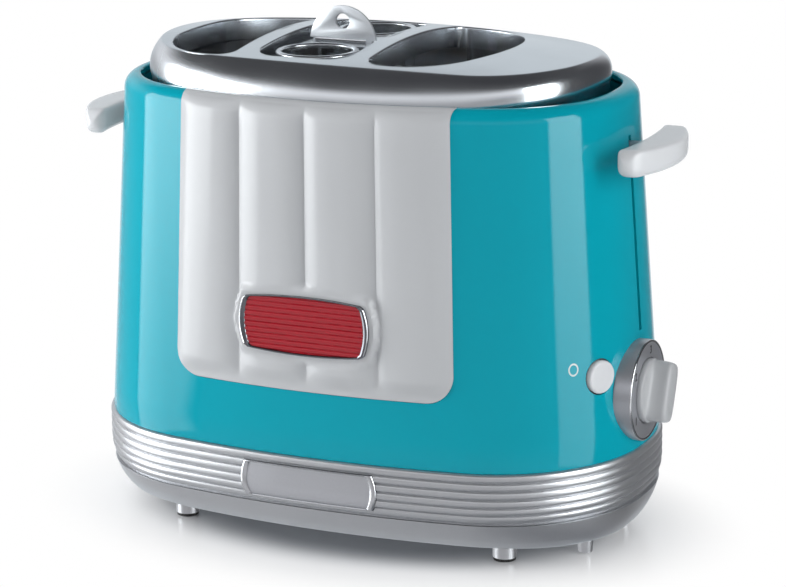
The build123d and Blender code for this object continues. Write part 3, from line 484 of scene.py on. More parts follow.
def lathe(name, profile, place, steps=64):
    """Turns a profile of (along, radius) points about an axis: place(along, side, up)."""
    loops = []
    for along, radius in profile:
        turns = full_turn(steps)
        loops.append([place(along, radius * math.cos(t), radius * math.sin(t)) for t in turns])
    return loops_to_mesh(name, loops, fill=True)


def rounded_profile(start, end, radius, edge, steps):
    """Profile of a disc or cylinder from start to end with its end edge rounded."""
    turns = part_turn(math.pi / 2, steps)
    curve = [(end - edge + edge * math.sin(t), radius - edge + edge * math.cos(t)) for t in turns]
    return [(start, radius)] + curve


def mirrored_outline(points, steps):
    """Closes one upright edge with its mirror image, with steps along both joining lines."""
    ends = points + [(-x, z) for x, z in points[::-1]]
    outline = []
    for i, (x, z) in enumerate(ends):
        outline.append((x, z))
        if i in (len(points) - 1, len(ends) - 1):
            outline += [(x - 2 * x * s / steps, z) for s in range(1, steps)]
    return outline


# Materials


def group(name, inputs, outputs):
    """An empty shader node group with named inputs and outputs."""
    tree = bpy.data.node_groups.new(name, "ShaderNodeTree")
    for label, kind, default in inputs:
        socket = tree.interface.new_socket(name=label, in_out="INPUT", socket_type=kind)
        if default is not None:
            socket.default_value = default
    for label, kind in outputs:
        tree.interface.new_socket(name=label, in_out="OUTPUT", socket_type=kind)
    first = tree.nodes.new("NodeGroupInput")
    last = tree.nodes.new("NodeGroupOutput")
    return tree, first, last


def node(tree, kind, **settings):
    made = tree.nodes.new(kind)
    for key, value in settings.items():
        setattr(made, key, value)
    return made


def new_material(name):
    material = bpy.data.materials.new(name)
    material.use_nodes = True
    return material, material.node_tree


def map_range(tree, source, low, high, to_low=0, to_high=1, smooth=True):
    """Maps a value from one range onto another, smoothly or in a straight line."""
    made = node(tree, "ShaderNodeMapRange")
    if smooth:
        made.interpolation_type = "SMOOTHSTEP"
    limits = {"From Min": low, "From Max": high, "To Min": to_low, "To Max": to_high}
    for label, value in limits.items():
        made.inputs[label].default_value = value
    tree.links.new(source, made.inputs["Value"])
    return made.outputs["Result"]


def mix_colours(tree, factor, first, second):
    """Mixes two colours by a value; each colour is a socket or three numbers."""
    made = node(tree, "ShaderNodeMix", data_type="RGBA")
    tree.links.new(factor, made.inputs["Factor"])
    for label, colour in (("A", first), ("B", second)):
        if isinstance(colour, bpy.types.NodeSocket):
            tree.links.new(colour, made.inputs[label])
        else:
            made.inputs[label].default_value = (*colour, 1)
    return made.outputs["Result"]


def mix_shaders(tree, factor, first, second):
    made = node(tree, "ShaderNodeMixShader")
    for socket, source in zip(made.inputs, (factor, first, second)):
        tree.links.new(source, socket)
    return made.outputs[0]


def product(tree, first, second):
    made = node(tree, "ShaderNodeMath", operation="MULTIPLY")
    tree.links.new(first, made.inputs[0])
    tree.links.new(second, made.inputs[1])
    return made.outputs[0]


def grain_group():
    """Fine speckle and slow cloud, for moulded and lacquered skins."""
    tree, first, last = group(
        "Skin grain",
        [("Vector", "NodeSocketVector", None), ("Fine scale", "NodeSocketFloat", 900.0),
         ("Cloud scale", "NodeSocketFloat", 18.0)],
        [("Height", "NodeSocketFloat"), ("Cloud", "NodeSocketFloat")])
    fine = node(tree, "ShaderNodeTexNoise")
    fine.inputs["Detail"].default_value = 3
    cloud = node(tree, "ShaderNodeTexNoise")
    cloud.inputs["Detail"].default_value = 4
    link = tree.links.new
    for noise, scale in ((fine, "Fine scale"), (cloud, "Cloud scale")):
        link(first.outputs["Vector"], noise.inputs["Vector"])
        link(first.outputs[scale], noise.inputs["Scale"])
    link(fine.outputs["Fac"], last.inputs["Height"])
    link(cloud.outputs["Fac"], last.inputs["Cloud"])
    return tree


def brush_group():
    """Streaks of a brushed or polished sheet, drawn out along one direction."""
    tree, first, last = group(
        "Brushed streaks",
        [("Vector", "NodeSocketVector", None), ("Stretch", "NodeSocketVector", (1.0, 60.0, 60.0)),
         ("Scale", "NodeSocketFloat", 40.0)],
        [("Height", "NodeSocketFloat"), ("Smudge", "NodeSocketFloat")])
    link = tree.links.new
    stretch = node(tree, "ShaderNodeVectorMath", operation="MULTIPLY")
    link(first.outputs["Vector"], stretch.inputs[0])
    link(first.outputs["Stretch"], stretch.inputs[1])
    streak = node(tree, "ShaderNodeTexNoise")
    streak.inputs["Detail"].default_value = 5
    link(stretch.outputs[0], streak.inputs["Vector"])
    link(first.outputs["Scale"], streak.inputs["Scale"])
    smudge = node(tree, "ShaderNodeTexNoise")
    smudge.inputs["Scale"].default_value = 14
    smudge.inputs["Detail"].default_value = 3
    link(first.outputs["Vector"], smudge.inputs["Vector"])
    link(streak.outputs["Fac"], last.inputs["Height"])
    link(smudge.outputs["Fac"], last.inputs["Smudge"])
    return tree


class Finish:
    """A Principled material under construction, with the two surface groups at hand."""

    groups = {}

    def __init__(self, name, **sockets):
        self.material, self.tree = new_material(name)
        self.shader = self.tree.nodes["Principled BSDF"]
        self.place = node(self.tree, "ShaderNodeTexCoord").outputs["Object"]
        for key, value in sockets.items():
            self.shader.inputs[key.replace("_", " ").title()].default_value = value

    def use(self, maker, **values):
        """Places a surface group, made once, with its own values."""
        if maker not in Finish.groups:
            Finish.groups[maker] = maker()
        made = node(self.tree, "ShaderNodeGroup", node_tree=Finish.groups[maker])
        for key, value in values.items():
            made.inputs[key.replace("_", " ").capitalize()].default_value = value
        self.tree.links.new(self.place, made.inputs["Vector"])
        return made

    def ramp(self, source, low, high, target):
        """Maps a value between 0.3 and 0.7 onto a range and feeds it to a shader socket."""
        spread = map_range(self.tree, source, 0.3, 0.7, low, high, smooth=False)
        self.tree.links.new(spread, self.shader.inputs[target])

    def tint(self, source, first, second):
        """Mixes two near colours by a value for Base Color."""
        mix = mix_colours(self.tree, source, first, second)
        self.tree.links.new(mix, self.shader.inputs["Base Color"])

    def bump(self, source, strength, distance):
        made = node(self.tree, "ShaderNodeBump")
        made.inputs["Strength"].default_value = strength
        made.inputs["Distance"].default_value = distance
        self.tree.links.new(source, made.inputs["Height"])
        self.tree.links.new(made.outputs["Normal"], self.shader.inputs["Normal"])


def shade(colour, factor):
    return tuple(min(c * factor, 1) for c in colour)


def plastic(name, colour, roughness, coat=0.0, peel=0.04, fine=700.0, mirror=0.5):
    """Moulded plastic: a slightly uneven gloss, faint cloud and orange peel."""
    made = Finish(name, roughness=roughness, coat_weight=coat, coat_roughness=0.05)
    made.shader.inputs["Specular IOR Level"].default_value = mirror
    grain = made.use(grain_group, fine_scale=fine, cloud_scale=16.0)
    made.tint(grain.outputs["Cloud"], shade(colour, 0.97), shade(colour, 1.03))
    made.ramp(grain.outputs["Cloud"], roughness * 0.85, roughness * 1.15, "Roughness")
    made.bump(grain.outputs["Height"], peel, 0.0002)
    return made.material


def quiet_bounce(material, colour):
    """Leaves the skin's hue as it is, but throws a paler light on its neighbours."""
    tree = material.node_tree
    socket = tree.nodes["Principled BSDF"].inputs["Base Color"]
    bounced = node(tree, "ShaderNodeLightPath").outputs["Is Diffuse Ray"]
    tree.links.new(mix_colours(tree, bounced, socket.links[0].from_socket, colour), socket)
    return material


def lacquer(name, colour, metallic, roughness):
    """Silver lacquer: fine metal flakes under a satin skin."""
    made = Finish(name, metallic=metallic, roughness=roughness)
    grain = made.use(grain_group, fine_scale=1500.0, cloud_scale=30.0)
    made.tint(grain.outputs["Height"], shade(colour, 0.95), shade(colour, 1.05))
    made.ramp(grain.outputs["Cloud"], roughness * 0.85, roughness * 1.2, "Roughness")
    made.bump(grain.outputs["Height"], 0.02, 0.0001)
    return made.material


def sheet_metal(name, colour, roughness, stretch, scale=40.0, depth=0.03):
    """Rolled or brushed metal: streaks one way, smudges in the gloss."""
    made = Finish(name, metallic=1.0, roughness=roughness)
    brush = made.use(brush_group, stretch=stretch, scale=scale)
    made.tint(brush.outputs["Height"], shade(colour, 0.95), shade(colour, 1.04))
    made.ramp(brush.outputs["Smudge"], roughness * 0.75, roughness * 1.3, "Roughness")
    made.bump(brush.outputs["Height"], depth, 0.00015)
    return made.material


ALONG_X = (1.0, 50.0, 50.0)
ALONG_Y = (50.0, 1.0, 50.0)
ALONG_Z = (50.0, 50.0, 1.0)


def make_finishes(colours):
    white = tuple(colours.white)
    body = plastic("Turquoise gloss", tuple(colours.body), 0.07, peel=0.012, fine=420.0,
                   mirror=0.25)
    return {
        "body": quiet_bounce(body, (0.30, 0.36, 0.37)),
        # Painted shade: the panel and the knob take darker copies of the white plastic, which makes
        # them greyer than the levers and button.
        "panel": plastic("Panel white, painted shade", shade(white, 0.78), 0.20, peel=0.02, mirror=0.3),
        "white": plastic("White gloss", white, 0.17, peel=0.02, mirror=0.3),
        "grip": plastic("Knob white, painted shade", shade(white, 0.68), 0.20, peel=0.02, mirror=0.3),
        "silver": lacquer("Silver lacquer", tuple(colours.silver), 0.86, 0.34),
        "steel": sheet_metal("Polished steel", tuple(colours.steel), 0.22, ALONG_X, depth=0.03),
        "tab": sheet_metal("Brushed tab", shade(colours.steel, 1.05), 0.42, ALONG_X, 60.0, 0.10),
        "dark_chrome": sheet_metal("Dark chrome", (0.20, 0.20, 0.22), 0.16, ALONG_X, depth=0.0),
        "chrome": sheet_metal("Chrome trim", (0.62, 0.63, 0.65), 0.10, ALONG_X, depth=0.0),
        "dial": lacquer("Satin ring", (0.42, 0.43, 0.46), 0.7, 0.32),
        "red": plastic("Red plate", tuple(colours.red), 0.18, coat=0.5, peel=0.02),
        "badge": lacquer("Badge plate", (0.56, 0.57, 0.60), 0.85, 0.30),
        "badge_rim": sheet_metal("Badge rim", (0.62, 0.63, 0.65), 0.18, ALONG_Z, depth=0.0),
        "print": plastic("Pale print", (0.62, 0.68, 0.66), 0.5, peel=0.0),
        "ink": plastic("Dark print", (0.03, 0.03, 0.035), 0.45, peel=0.0),
        "rubber": plastic("Foot rubber", (0.02, 0.02, 0.02), 0.8, peel=0.2),
        "black": plastic("Black moulding", (0.022, 0.022, 0.024), 0.55, peel=0.12),
        "liner": sheet_metal("Liner steel", (0.52, 0.53, 0.55), 0.24, ALONG_X, depth=0.05),
        "wire": sheet_metal("Bright wire", (0.60, 0.61, 0.62), 0.22, ALONG_Z),
        "zinc": sheet_metal("Zinc sheet", (0.45, 0.47, 0.50), 0.38, ALONG_Y, 25.0, 0.08),
        "mica": plastic("Mica card", (0.36, 0.29, 0.20), 0.5, peel=0.3, fine=300.0),
        "strip": sheet_metal("Heater strip", (0.26, 0.21, 0.19), 0.42, ALONG_Z),
        "grey": plastic("Slide block", (0.10, 0.10, 0.11), 0.5, peel=0.1),
        "board": plastic("Circuit board", (0.012, 0.10, 0.04), 0.3, peel=0.15, fine=350.0),
        "copper": sheet_metal("Copper winding", (0.72, 0.30, 0.13), 0.3, ALONG_X, 200.0, 0.5),
    }


FINISHES = {}


# Body and base


def body_levels():
    """Outer side of the body from its foot over the shoulder to the lip."""
    rise = RIM_Z - SHOULDER - SEAM_Z
    levels = [(SEAM_Z, -0.0006), (SEAM_Z + 0.0003, -0.00015), (SEAM_Z + 0.0008, 0)]
    levels += [(SEAM_Z + rise * i / 12, 0) for i in range(1, 13)]
    for turn in part_turn(math.pi / 2, 10)[1:]:
        levels.append((RIM_Z - SHOULDER * (1 - math.sin(turn)), -SHOULDER * (1 - math.cos(turn))))
    return levels


def make_body_shell():
    loops = [oval_loop(body_oval(z).grown(offset), z) for z, offset in body_levels()]
    lip = -SHOULDER - RIM_LIP
    loops.append(oval_loop(body_oval(RIM_Z).grown(lip), RIM_Z - 0.0002))
    loops.append(oval_loop(body_oval(RIM_Z).grown(lip - 0.0003), RIM_Z - 0.0008))
    inner_z = RIM_Z - SHOULDER
    loops.append(oval_loop(body_oval(RIM_Z).grown(lip + 0.0002), RIM_Z - WALL))
    for i in range(9):
        z = inner_z + (SEAM_Z - inner_z) * i / 8
        loops.append(oval_loop(body_oval(z).grown(-WALL), z))
    loops.append(loops[0])
    return loops_to_mesh("body_shell", loops)


def oval_loop(oval, z):
    return [(x, y, z) for x, y in oval.points()]


def box_cutter(middle, size):
    deselect()
    bpy.ops.mesh.primitive_cube_add(size=1, location=middle)
    cutter = bpy.context.object
    cutter.dimensions = size
    settle(cutter)
    return cutter


def lever_slot_cutter(side):
    """Box through the wall for a lever's stem, over its whole travel."""
    low, high = LEVER_SLOT_Z
    cutter = box_cutter((side * LEVER_SLOT_X, 0, (low + high) / 2),
                        (0.04, LEVER_SLOT_WIDTH, high - low))
    choose(cutter)
    bpy.ops.object.mode_set(mode="EDIT")
    bpy.ops.mesh.select_all(action="SELECT")
    bpy.ops.mesh.subdivide(number_cuts=3)
    bpy.ops.object.mode_set(mode="OBJECT")
    return cutter


def button_frame():
    """Centre of the stop button on the wall, and its outward direction."""
    low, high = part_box("stop_button")
    joint = next(j for j in frame["joints"] if j["name"] == "button_press")
    outward = -Vector(joint["axis"]).normalized()
    middle = (Vector(low) + Vector(high)) / 2
    z = middle.z
    oval = body_oval(z)
    radius, kx, ky, _, _ = oval.arcs()
    turn = math.atan2(outward.y, outward.x)
    return Vector((kx + radius * math.cos(turn), ky + radius * math.sin(turn), z)), outward


def button_place(along, side, up):
    centre, outward = button_frame()
    across = Vector((-outward.y, outward.x, 0))
    return centre + outward * along + across * side + Vector((0, 0, up))


def dial_place(along, side, up):
    return Vector((along, DIAL_Y + side, DIAL_Z + up))


class TOASTER_OT_body(bpy.types.Operator):
    """Glossy body shell with its panel recess, lever slots and openings"""

    bl_idname = "toaster.body"
    bl_label = "Body shell"

    def execute(self, context):
        shell = make_body_shell()
        sizes = context.scene.toaster_sizes
        cut(shell, panel_form("panel_recess", sizes.panel_gap, 0.0015, 0.0, 0.0021))
        for side in (-1, 1):
            cut(shell, lever_slot_cutter(side))
        radius = BUTTON_RADIUS + 0.0007
        hole = lathe("button_hole", [(-0.02, radius), (0.02, radius)], button_place)
        bore = lathe("dial_hole", [(x, SHAFT_HOLE_RADIUS) for x in (0.11, 0.15)], dial_place)
        cut(shell, hole, bore)
        finish(shell, "toaster", FINISHES["body"], "turquoise", "housing_shell", angle=30)
        return {"FINISHED"}


def panel_half_width(z):
    low_half, high_half = PANEL_HALVES
    low_z = SEAM_Z + PANEL_FOOT
    return low_half + (high_half - low_half) * (z - low_z) / (RIM_Z - low_z)


EMBLEM_Z = 0.112
EMBLEM_HALF = 0.030
EMBLEM_HEIGHT = 0.0121
EMBLEM_BOW = 0.0026
EMBLEM_CROWN = 0.15
EMBLEM_BROAD = 0.0029
EMBLEM_SLIM = 0.0009
SEAT_MARGIN = 0.0021
SEAT_Y = 0.0837


def emblem_half(z, grow):
    """Half width of the emblem outline at a height, with its bowed ends."""
    high = EMBLEM_HEIGHT + max(grow, 0)
    share = min(abs(z - EMBLEM_Z) / high, 1)
    return EMBLEM_HALF + grow + EMBLEM_BOW * (1 - share * share)


def emblem_crown(x):
    """Stretch in height that bows the emblem's long edges."""
    share = min(abs(x) / EMBLEM_HALF, 1)
    return 1 + EMBLEM_CROWN * (1 - share * share)


def seat_mask(x, z):
    """1 on the flat seat of the emblem, falling to 0 just outside it."""
    level = EMBLEM_Z + (z - EMBLEM_Z) / emblem_crown(x)
    out_x = abs(x) - emblem_half(level, 0)
    out_z = abs(level - EMBLEM_Z) - EMBLEM_HEIGHT
    outside = math.hypot(max(out_x, 0), max(out_z, 0)) - SEAT_MARGIN
    return 1 - smooth_step(outside, 0.0, 0.0024)


def rib_swell(share, z):
    """Height of the ribs, 0 to 1: share runs from -1 to 1 over the panel's width."""
    rib = (share + 1) * 2
    across = 2 * (rib - math.floor(min(rib, 3.9999))) - 1
    climb = min(max(z - RIM_Z + 0.0105, 0) / 0.0095, 1)
    fade = smooth_step(z, 0.0818, 0.0915) * math.sqrt(1 - climb * climb)
    return (1 - abs(across) ** RIB_POWER) * fade


def panel_form(name, grow, proud, rise, thickness):
    """The panel's slab, following the body; grown and proud when it is a cutter."""
    low = SEAM_Z + PANEL_FOOT - grow
    bend = RIM_Z - SHOULDER
    corner = PANEL_CORNER + grow

    def place(across, up):
        turn = 0
        drawn = 0
        if up < 0.2:
            curl = math.pi / 2 * up / 0.2
            z = low + corner * (1 - math.cos(curl))
            drawn = corner * (1 - math.sin(curl))
        elif up < 0.84:
            z = low + corner + (bend - low - corner) * (up - 0.2) / 0.64
        else:
            turn = math.pi / 2 * min((up - 0.84) / 0.13, 1)
            z = bend
        half = panel_half_width(z) + grow
        share = (2 * across - 1) * (half - drawn) / half
        x = share * half
        lip = RIM_LIP * max((up - 0.97) / 0.03, 0)
        reach = SHOULDER + proud
        y = body_oval(z).width_at(x) - SHOULDER + reach * math.cos(turn) - lip
        z += reach * math.sin(turn)
        if rise > 0:
            y += rise * rib_swell(share, z)
            y += (SEAT_Y - y) * seat_mask(x, z)
        return Vector((x, -y, z))

    panel = plate(name, 4 * 40, 150, place, thickness + proud)
    weld(panel)
    return panel


class TOASTER_OT_panel(bpy.types.Operator):
    """White front panel with four swelling ribs and the emblem's seat"""

    bl_idname = "toaster.panel"
    bl_label = "Front panel"

    def execute(self, context):
        sizes = context.scene.toaster_sizes
        panel = panel_form("ribbed_panel", 0.0, 0.00025, sizes.rib_rise, 0.0018)
        soften(panel, 0.0006, segments=3, angle=60)
        finish(panel, "toaster", FINISHES["panel"], "white_gloss", "front_panel", angle=50)
        return {"FINISHED"}


def emblem_loop(grow_x, grow_z, y):
    """Points round the emblem at a depth, with softly rounded corners."""
    high = EMBLEM_HEIGHT + grow_z
    corner = 0.0014
    points = []
    for i in range(25):
        z = EMBLEM_Z - high + 2 * high * i / 24
        inset = min(max(corner - (high - abs(z - EMBLEM_Z)), 0), corner)
        pull = corner - math.sqrt(corner**2 - inset**2)
        points.append((emblem_half(z, grow_x) - pull, z))
    outline = mirrored_outline(points, 30)
    return [(x, -y, EMBLEM_Z + (z - EMBLEM_Z) * emblem_crown(x)) for x, z in outline]


def emblem_ring(name, profile):
    """Sweeps a closed profile of (share, rise) points round the emblem: broad at its ends."""
    loops = [emblem_loop(-EMBLEM_BROAD * share, -EMBLEM_SLIM * share, SEAT_Y + rise)
             for share, rise in profile]
    return loops_to_mesh(name, loops + loops[:1])


class TOASTER_OT_emblem(bpy.types.Operator):
    """Dark plated emblem frame round a bare red plate with level ribs"""

    bl_idname = "toaster.emblem"
    bl_label = "Emblem"

    def execute(self, context):
        pitch = context.scene.toaster_sizes.emblem_rib_pitch
        rim = emblem_ring("emblem_rim", [
            (0, -0.0003), (0, 0.0005), (0.06, 0.0010), (0.2, 0.0013), (0.5, 0.0013), (0.8, 0.0010),
            (0.95, 0.0006), (1, 0.0002), (1, -0.0003)])
        finish(rim, "toaster", FINISHES["dark_chrome"], "chrome_trim", "emblem_frame", angle=50)
        bead = emblem_ring("emblem_bead", [
            (0.06, 0.0011), (0.1, 0.0014), (0.18, 0.00145), (0.24, 0.0012)])
        finish(bead, "toaster", FINISHES["chrome"], "chrome_trim", angle=60)

        def place(across, up):
            level = EMBLEM_Z + (EMBLEM_HEIGHT - 0.0008) * (2 * up - 1)
            x = (2 * across - 1) * emblem_half(level, -0.0027)
            z = EMBLEM_Z + (level - EMBLEM_Z) * emblem_crown(x)
            wave = abs(math.sin(math.pi * (z - EMBLEM_Z) / pitch)) ** 0.6
            return Vector((x, -SEAT_Y - 0.0001 - 0.0006 * wave, z))

        face = plate("emblem_face", 60, 200, place, 0.0003)
        finish(face, "toaster", FINISHES["red"], "red_plate", "emblem_plate", angle=70)
        return {"FINISHED"}


def base_rib_levels(depth):
    """Levels of the ribbed ring from its foot to the seam."""
    foot = base_offset(RING_Z)
    levels = [(RING_Z + 0.0002, foot - 0.0004), (RING_Z + 0.0008, foot - 0.0001)]
    low = SEAM_Z - RIB_COUNT * RIB_PITCH
    levels.append((low - 0.0003, base_offset(low) - depth))
    for rib in range(RIB_COUNT):
        start = low + rib * RIB_PITCH
        for i in range(1, 10):
            share = i / 10
            z = start + share * RIB_PITCH
            swell = math.sqrt(1 - (2 * share - 1) ** 2)
            levels.append((z, base_offset(z) - depth * (1 - swell)))
        z = start + RIB_PITCH
        levels.append((z - 0.00005, base_offset(z) - depth * (1 if rib < RIB_COUNT - 1 else 0.9)))
    return levels


def tray_window_cutter():
    low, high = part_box("crumb_tray")
    x = (low[0] + high[0]) / 2
    half = (high[0] - low[0]) / 2 + 0.0004
    z0, z1 = high[2] - 0.014 - 0.0003, high[2] + 0.0003
    return box_cutter((x, 0.075, (z0 + z1) / 2), (2 * half, 0.05, z1 - z0))


BADGE_HALF = 0.0325
BADGE_HEIGHT = 0.0085
BADGE_TOP = SEAM_Z - 0.0045
BADGE_BOW = 0.002


def badge_loop(draw_x, draw_z, proud):
    """Points round the badge on the base's wall: drawn in at its ends and edges, and proud."""
    middle = BADGE_TOP - BADGE_HEIGHT
    high = BADGE_HEIGHT - draw_z
    points = []
    for i in range(17):
        share = 2 * i / 16 - 1
        half = BADGE_HALF - draw_x + BADGE_BOW * (1 - share * share)
        points.append((half, middle + high * share))
    seam = Oval(*SEAM_OVAL)
    return [(x, -seam.width_at(x) - base_offset(z) - proud, z)
            for x, z in mirrored_outline(points, 24)]


def badge_cutter(grow):
    """Prism in front of the base with the badge's outline."""
    outline = [(x, z) for x, _, z in badge_loop(-grow, -grow, 0)]
    loops = [[(x, y, z) for x, z in outline] for y in (-0.092, -0.076)]
    return loops_to_mesh("badge_cutter", loops, fill=True)


class TOASTER_OT_base(bpy.types.Operator):
    """Ribbed silver ring, smooth lower pan, feet and pegs"""

    bl_idname = "toaster.base"
    bl_label = "Base"

    def execute(self, context):
        sizes = context.scene.toaster_sizes
        seam = Oval(*SEAM_OVAL)
        levels = base_rib_levels(sizes.base_rib_depth)
        loops = [oval_loop(seam.grown(offset), z) for z, offset in levels]
        loops.append(oval_loop(seam.grown(-RING_SHELF), SEAM_Z - 0.00005))
        loops.append(oval_loop(seam.grown(-RING_SHELF), SEAM_Z - 0.0024))
        loops.append(oval_loop(seam.grown(-0.0018), SEAM_Z - 0.0024))
        loops.append(oval_loop(seam.grown(base_offset(RING_Z) - 0.0033), RING_Z + 0.0002))
        loops.append(loops[0])
        ring = loops_to_mesh("ribbed_ring", loops)
        cut(ring, badge_cutter(0.0002), tray_window_cutter())
        gland_low, gland_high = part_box("cord_gland")
        gland_x = (gland_low[0] + gland_high[0]) / 2
        hole = lathe("gland_hole", [(y, GLAND_HOLE_RADIUS) for y in (0.06, 0.09)],
                     lambda along, side, up: Vector((gland_x + side, along, GLAND_Z + up)), 32)
        cut(ring, hole)
        finish(ring, "toaster", FINISHES["silver"], "silver_gloss", "base_ring", angle=40)

        pan_levels = [PAN_Z + 0.0006] + [PAN_Z + (RING_Z - PAN_Z) * i / 12 for i in range(1, 13)]
        loops = [pan_loop(PAN_Z, PAN_FLOOR_INSET), pan_loop(PAN_Z, 0.0012)]
        loops += [pan_loop(z) for z in pan_levels]
        loops += [pan_loop(RING_Z, 0.0006), pan_loop(RING_Z, PAN_WALL)]
        loops += [pan_loop(z, PAN_WALL) for z in pan_levels[::-4]]
        loops.append(pan_loop(PAN_Z + PAN_WALL, PAN_FLOOR_INSET))
        pan = loops_to_mesh("base_bowl", loops, fill=True)
        finish(pan, "toaster", FINISHES["silver"], "silver_gloss", "base_pan", angle=40)
        dress(FINISHES["silver"], "crumb_tray", "feet", "cord_pegs")
        dress(FINISHES["rubber"], "foot_pads")
        dress(FINISHES["wire"], "base_screws")
        dress(FINISHES["black"], "cord_gland", "tray_rails")
        return {"FINISHED"}


class TOASTER_OT_badge(bpy.types.Operator):
    """Bare badge plate let into the ribs, inside a rim that is broad at both ends"""

    bl_idname = "toaster.badge"
    bl_label = "Badge"

    def execute(self, context):
        broad, slim = 0.0030, 0.0007
        profile = [(0, -0.0012), (0, 0.0002), (0.12, 0.0006), (0.4, 0.0007), (0.8, 0.0005),
                   (1, 0), (1, -0.0012)]
        loops = [badge_loop(broad * share, slim * share, proud) for share, proud in profile]
        rim = loops_to_mesh("badge_rim", loops + loops[:1])
        finish(rim, "toaster", FINISHES["badge_rim"], "chrome_trim", angle=50)
        seam = Oval(*SEAM_OVAL)

        def place(across, up):
            share = 2 * up - 1
            z = BADGE_TOP - BADGE_HEIGHT + (BADGE_HEIGHT - 0.0005) * share
            x = (2 * across - 1) * (BADGE_HALF - 0.0028 + BADGE_BOW * (1 - share * share))
            return Vector((x, -seam.width_at(x) - base_offset(z) + 0.0003, z))

        face = plate("badge_face", 60, 24, place, 0.0008)
        finish(face, "toaster", FINISHES["badge"], "chrome_trim", "badge_plate", angle=40)
        return {"FINISHED"}


# Cover and openings


def cover_side(station):
    """Point function of the cover's side for one spot round it: share 0 skirt, 1 deck edge."""
    skirt, belt, bulge, deck = station
    lift = (deck - belt) * 0.5

    def place(share):
        if share < 0.3:
            return skirt + (belt - skirt) * share / 0.3
        if share < 0.6:
            t = (share - 0.3) / 0.3
            start = (bulge - belt) * 2 - lift
            return belt + start * t + (bulge - belt - start) * t * t
        t = (share - 0.6) / 0.4
        return bulge + lift * t + (deck - bulge - lift) * t * t

    return place


def cover_loops():
    """Loops from the hidden skirt up the side, over the deck's edge and in to the middle."""
    deck = Oval(*DECK_OVAL)
    rows = []
    for oval, z in ((SKIRT_OVAL, SKIRT_Z), (BELT_OVAL, BELT_Z), (BULGE_OVAL, BULGE_Z)):
        rows.append([Vector((x, y, z)) for x, y in Oval(*oval).points()])
    edge = [Vector((x, y, crown(x, y))) for x, y in deck.points()]
    inner = [Vector((x, y, crown(x, y))) for x, y in deck.grown(-DECK_EDGE).points()]
    sides = [cover_side(station) for station in zip(*rows, edge)]
    shares = [i / 10 * 0.6 for i in range(10)] + [0.6 + 0.36 * i / 12 for i in range(13)]
    loops = [[tuple(side(share)) for side in sides] for share in shares]
    for i in range(1, 9):
        t = i / 8
        loop = []
        for side, corner, inside in zip(sides, edge, inner):
            start = side(0.96)
            loop.append(tuple(start * (1 - t) ** 2 + corner * 2 * t * (1 - t) + inside * t * t))
        loops.append(loop)
    for i in range(1, 25):
        shrink = DECK_EDGE + (DECK_OVAL[1] - DECK_EDGE - DECK_MIDDLE) * i / 24
        loops.append([(x, y, crown(x, y)) for x, y in deck.grown(-shrink).points()])
    return loops


def prism(name, points, low, high):
    loops = [[(x, y, z) for x, y in points] for z in (low, high)]
    return loops_to_mesh(name, loops, fill=True)


def collar(name, outline, roll):
    """Upturned wall of an opening, rolled over onto the deck."""
    profile = [(0.0, -COLLAR_DEPTH), (0.0, -roll)]
    for turn in part_turn(math.pi / 2, 6)[1:]:
        profile.append((roll * (1 - math.cos(turn)), -roll * (1 - math.sin(turn)) + 0.00008))
    profile += [(roll + 0.0006, -0.00005), (roll + 0.0006, -0.0006), (0.0011, -0.0012),
                (0.0011, -COLLAR_DEPTH)]
    loops = []
    for offset, drop in profile:
        loops.append([(x, y, crown(x, y) + drop) for x, y in outline(offset)])
    loops.append(loops[0])
    return loops_to_mesh(name, loops)


class TOASTER_OT_cover(bpy.types.Operator):
    """Polished steel cover with three rolled openings"""

    bl_idname = "toaster.cover"
    bl_label = "Steel cover"

    def execute(self, context):
        roll = context.scene.toaster_sizes.rolled_edge
        cover = loops_to_mesh("cover_shell", cover_loops())
        weld(cover)
        close_top(cover)
        thicken(cover, COVER_WALL)
        outlines = {
            "left": lambda offset: slot_points(LEFT_SLOT, offset),
            "middle": sausage_points,
            "right": lambda offset: slot_points(RIGHT_SLOT, offset),
        }
        for name, outline in outlines.items():
            cut(cover, prism(name + "_cutter", outline(roll * 0.8), 0.215, 0.24))
        pieces = [collar(name + "_collar", outline, roll) for name, outline in outlines.items()]
        finish(cover, "toaster", FINISHES["steel"], "polished_steel", "top_cover", angle=35)
        for piece in pieces:
            finish(piece, "toaster", FINISHES["steel"], "polished_steel", angle=50)
        return {"FINISHED"}


def close_top(obj):
    """Fills the highest open loop of a shell."""
    choose(obj)
    bpy.ops.object.mode_set(mode="EDIT")
    bpy.ops.mesh.select_mode(type="VERT")
    bpy.ops.mesh.select_all(action="DESELECT")
    bpy.ops.mesh.select_non_manifold(extend=False)
    bpy.ops.object.mode_set(mode="OBJECT")
    for vertex in obj.data.vertices:
        if vertex.co.z < BULGE_Z:
            vertex.select = False
    for edge in obj.data.edges:
        if not all(obj.data.vertices[i].select for i in edge.vertices):
            edge.select = False
    bpy.ops.object.mode_set(mode="EDIT")
    bpy.ops.mesh.edge_face_add()
    bpy.ops.mesh.select_all(action="SELECT")
    bpy.ops.mesh.normals_make_consistent(inside=False)
    bpy.ops.object.mode_set(mode="OBJECT")


def tab_outline(radius):
    """Half round of the basket's tab with a short neck at its foot, as (across, up)."""
    turns = part_turn(math.pi, 48)
    points = [(radius * math.cos(t), max(radius * math.sin(t), TAB_BEND)) for t in turns]
    foot = [(-radius + 0.0016, 0.0012), (-radius + 0.0018, 0)]
    return points + foot + [(-x, z) for x, z in foot[::-1]]


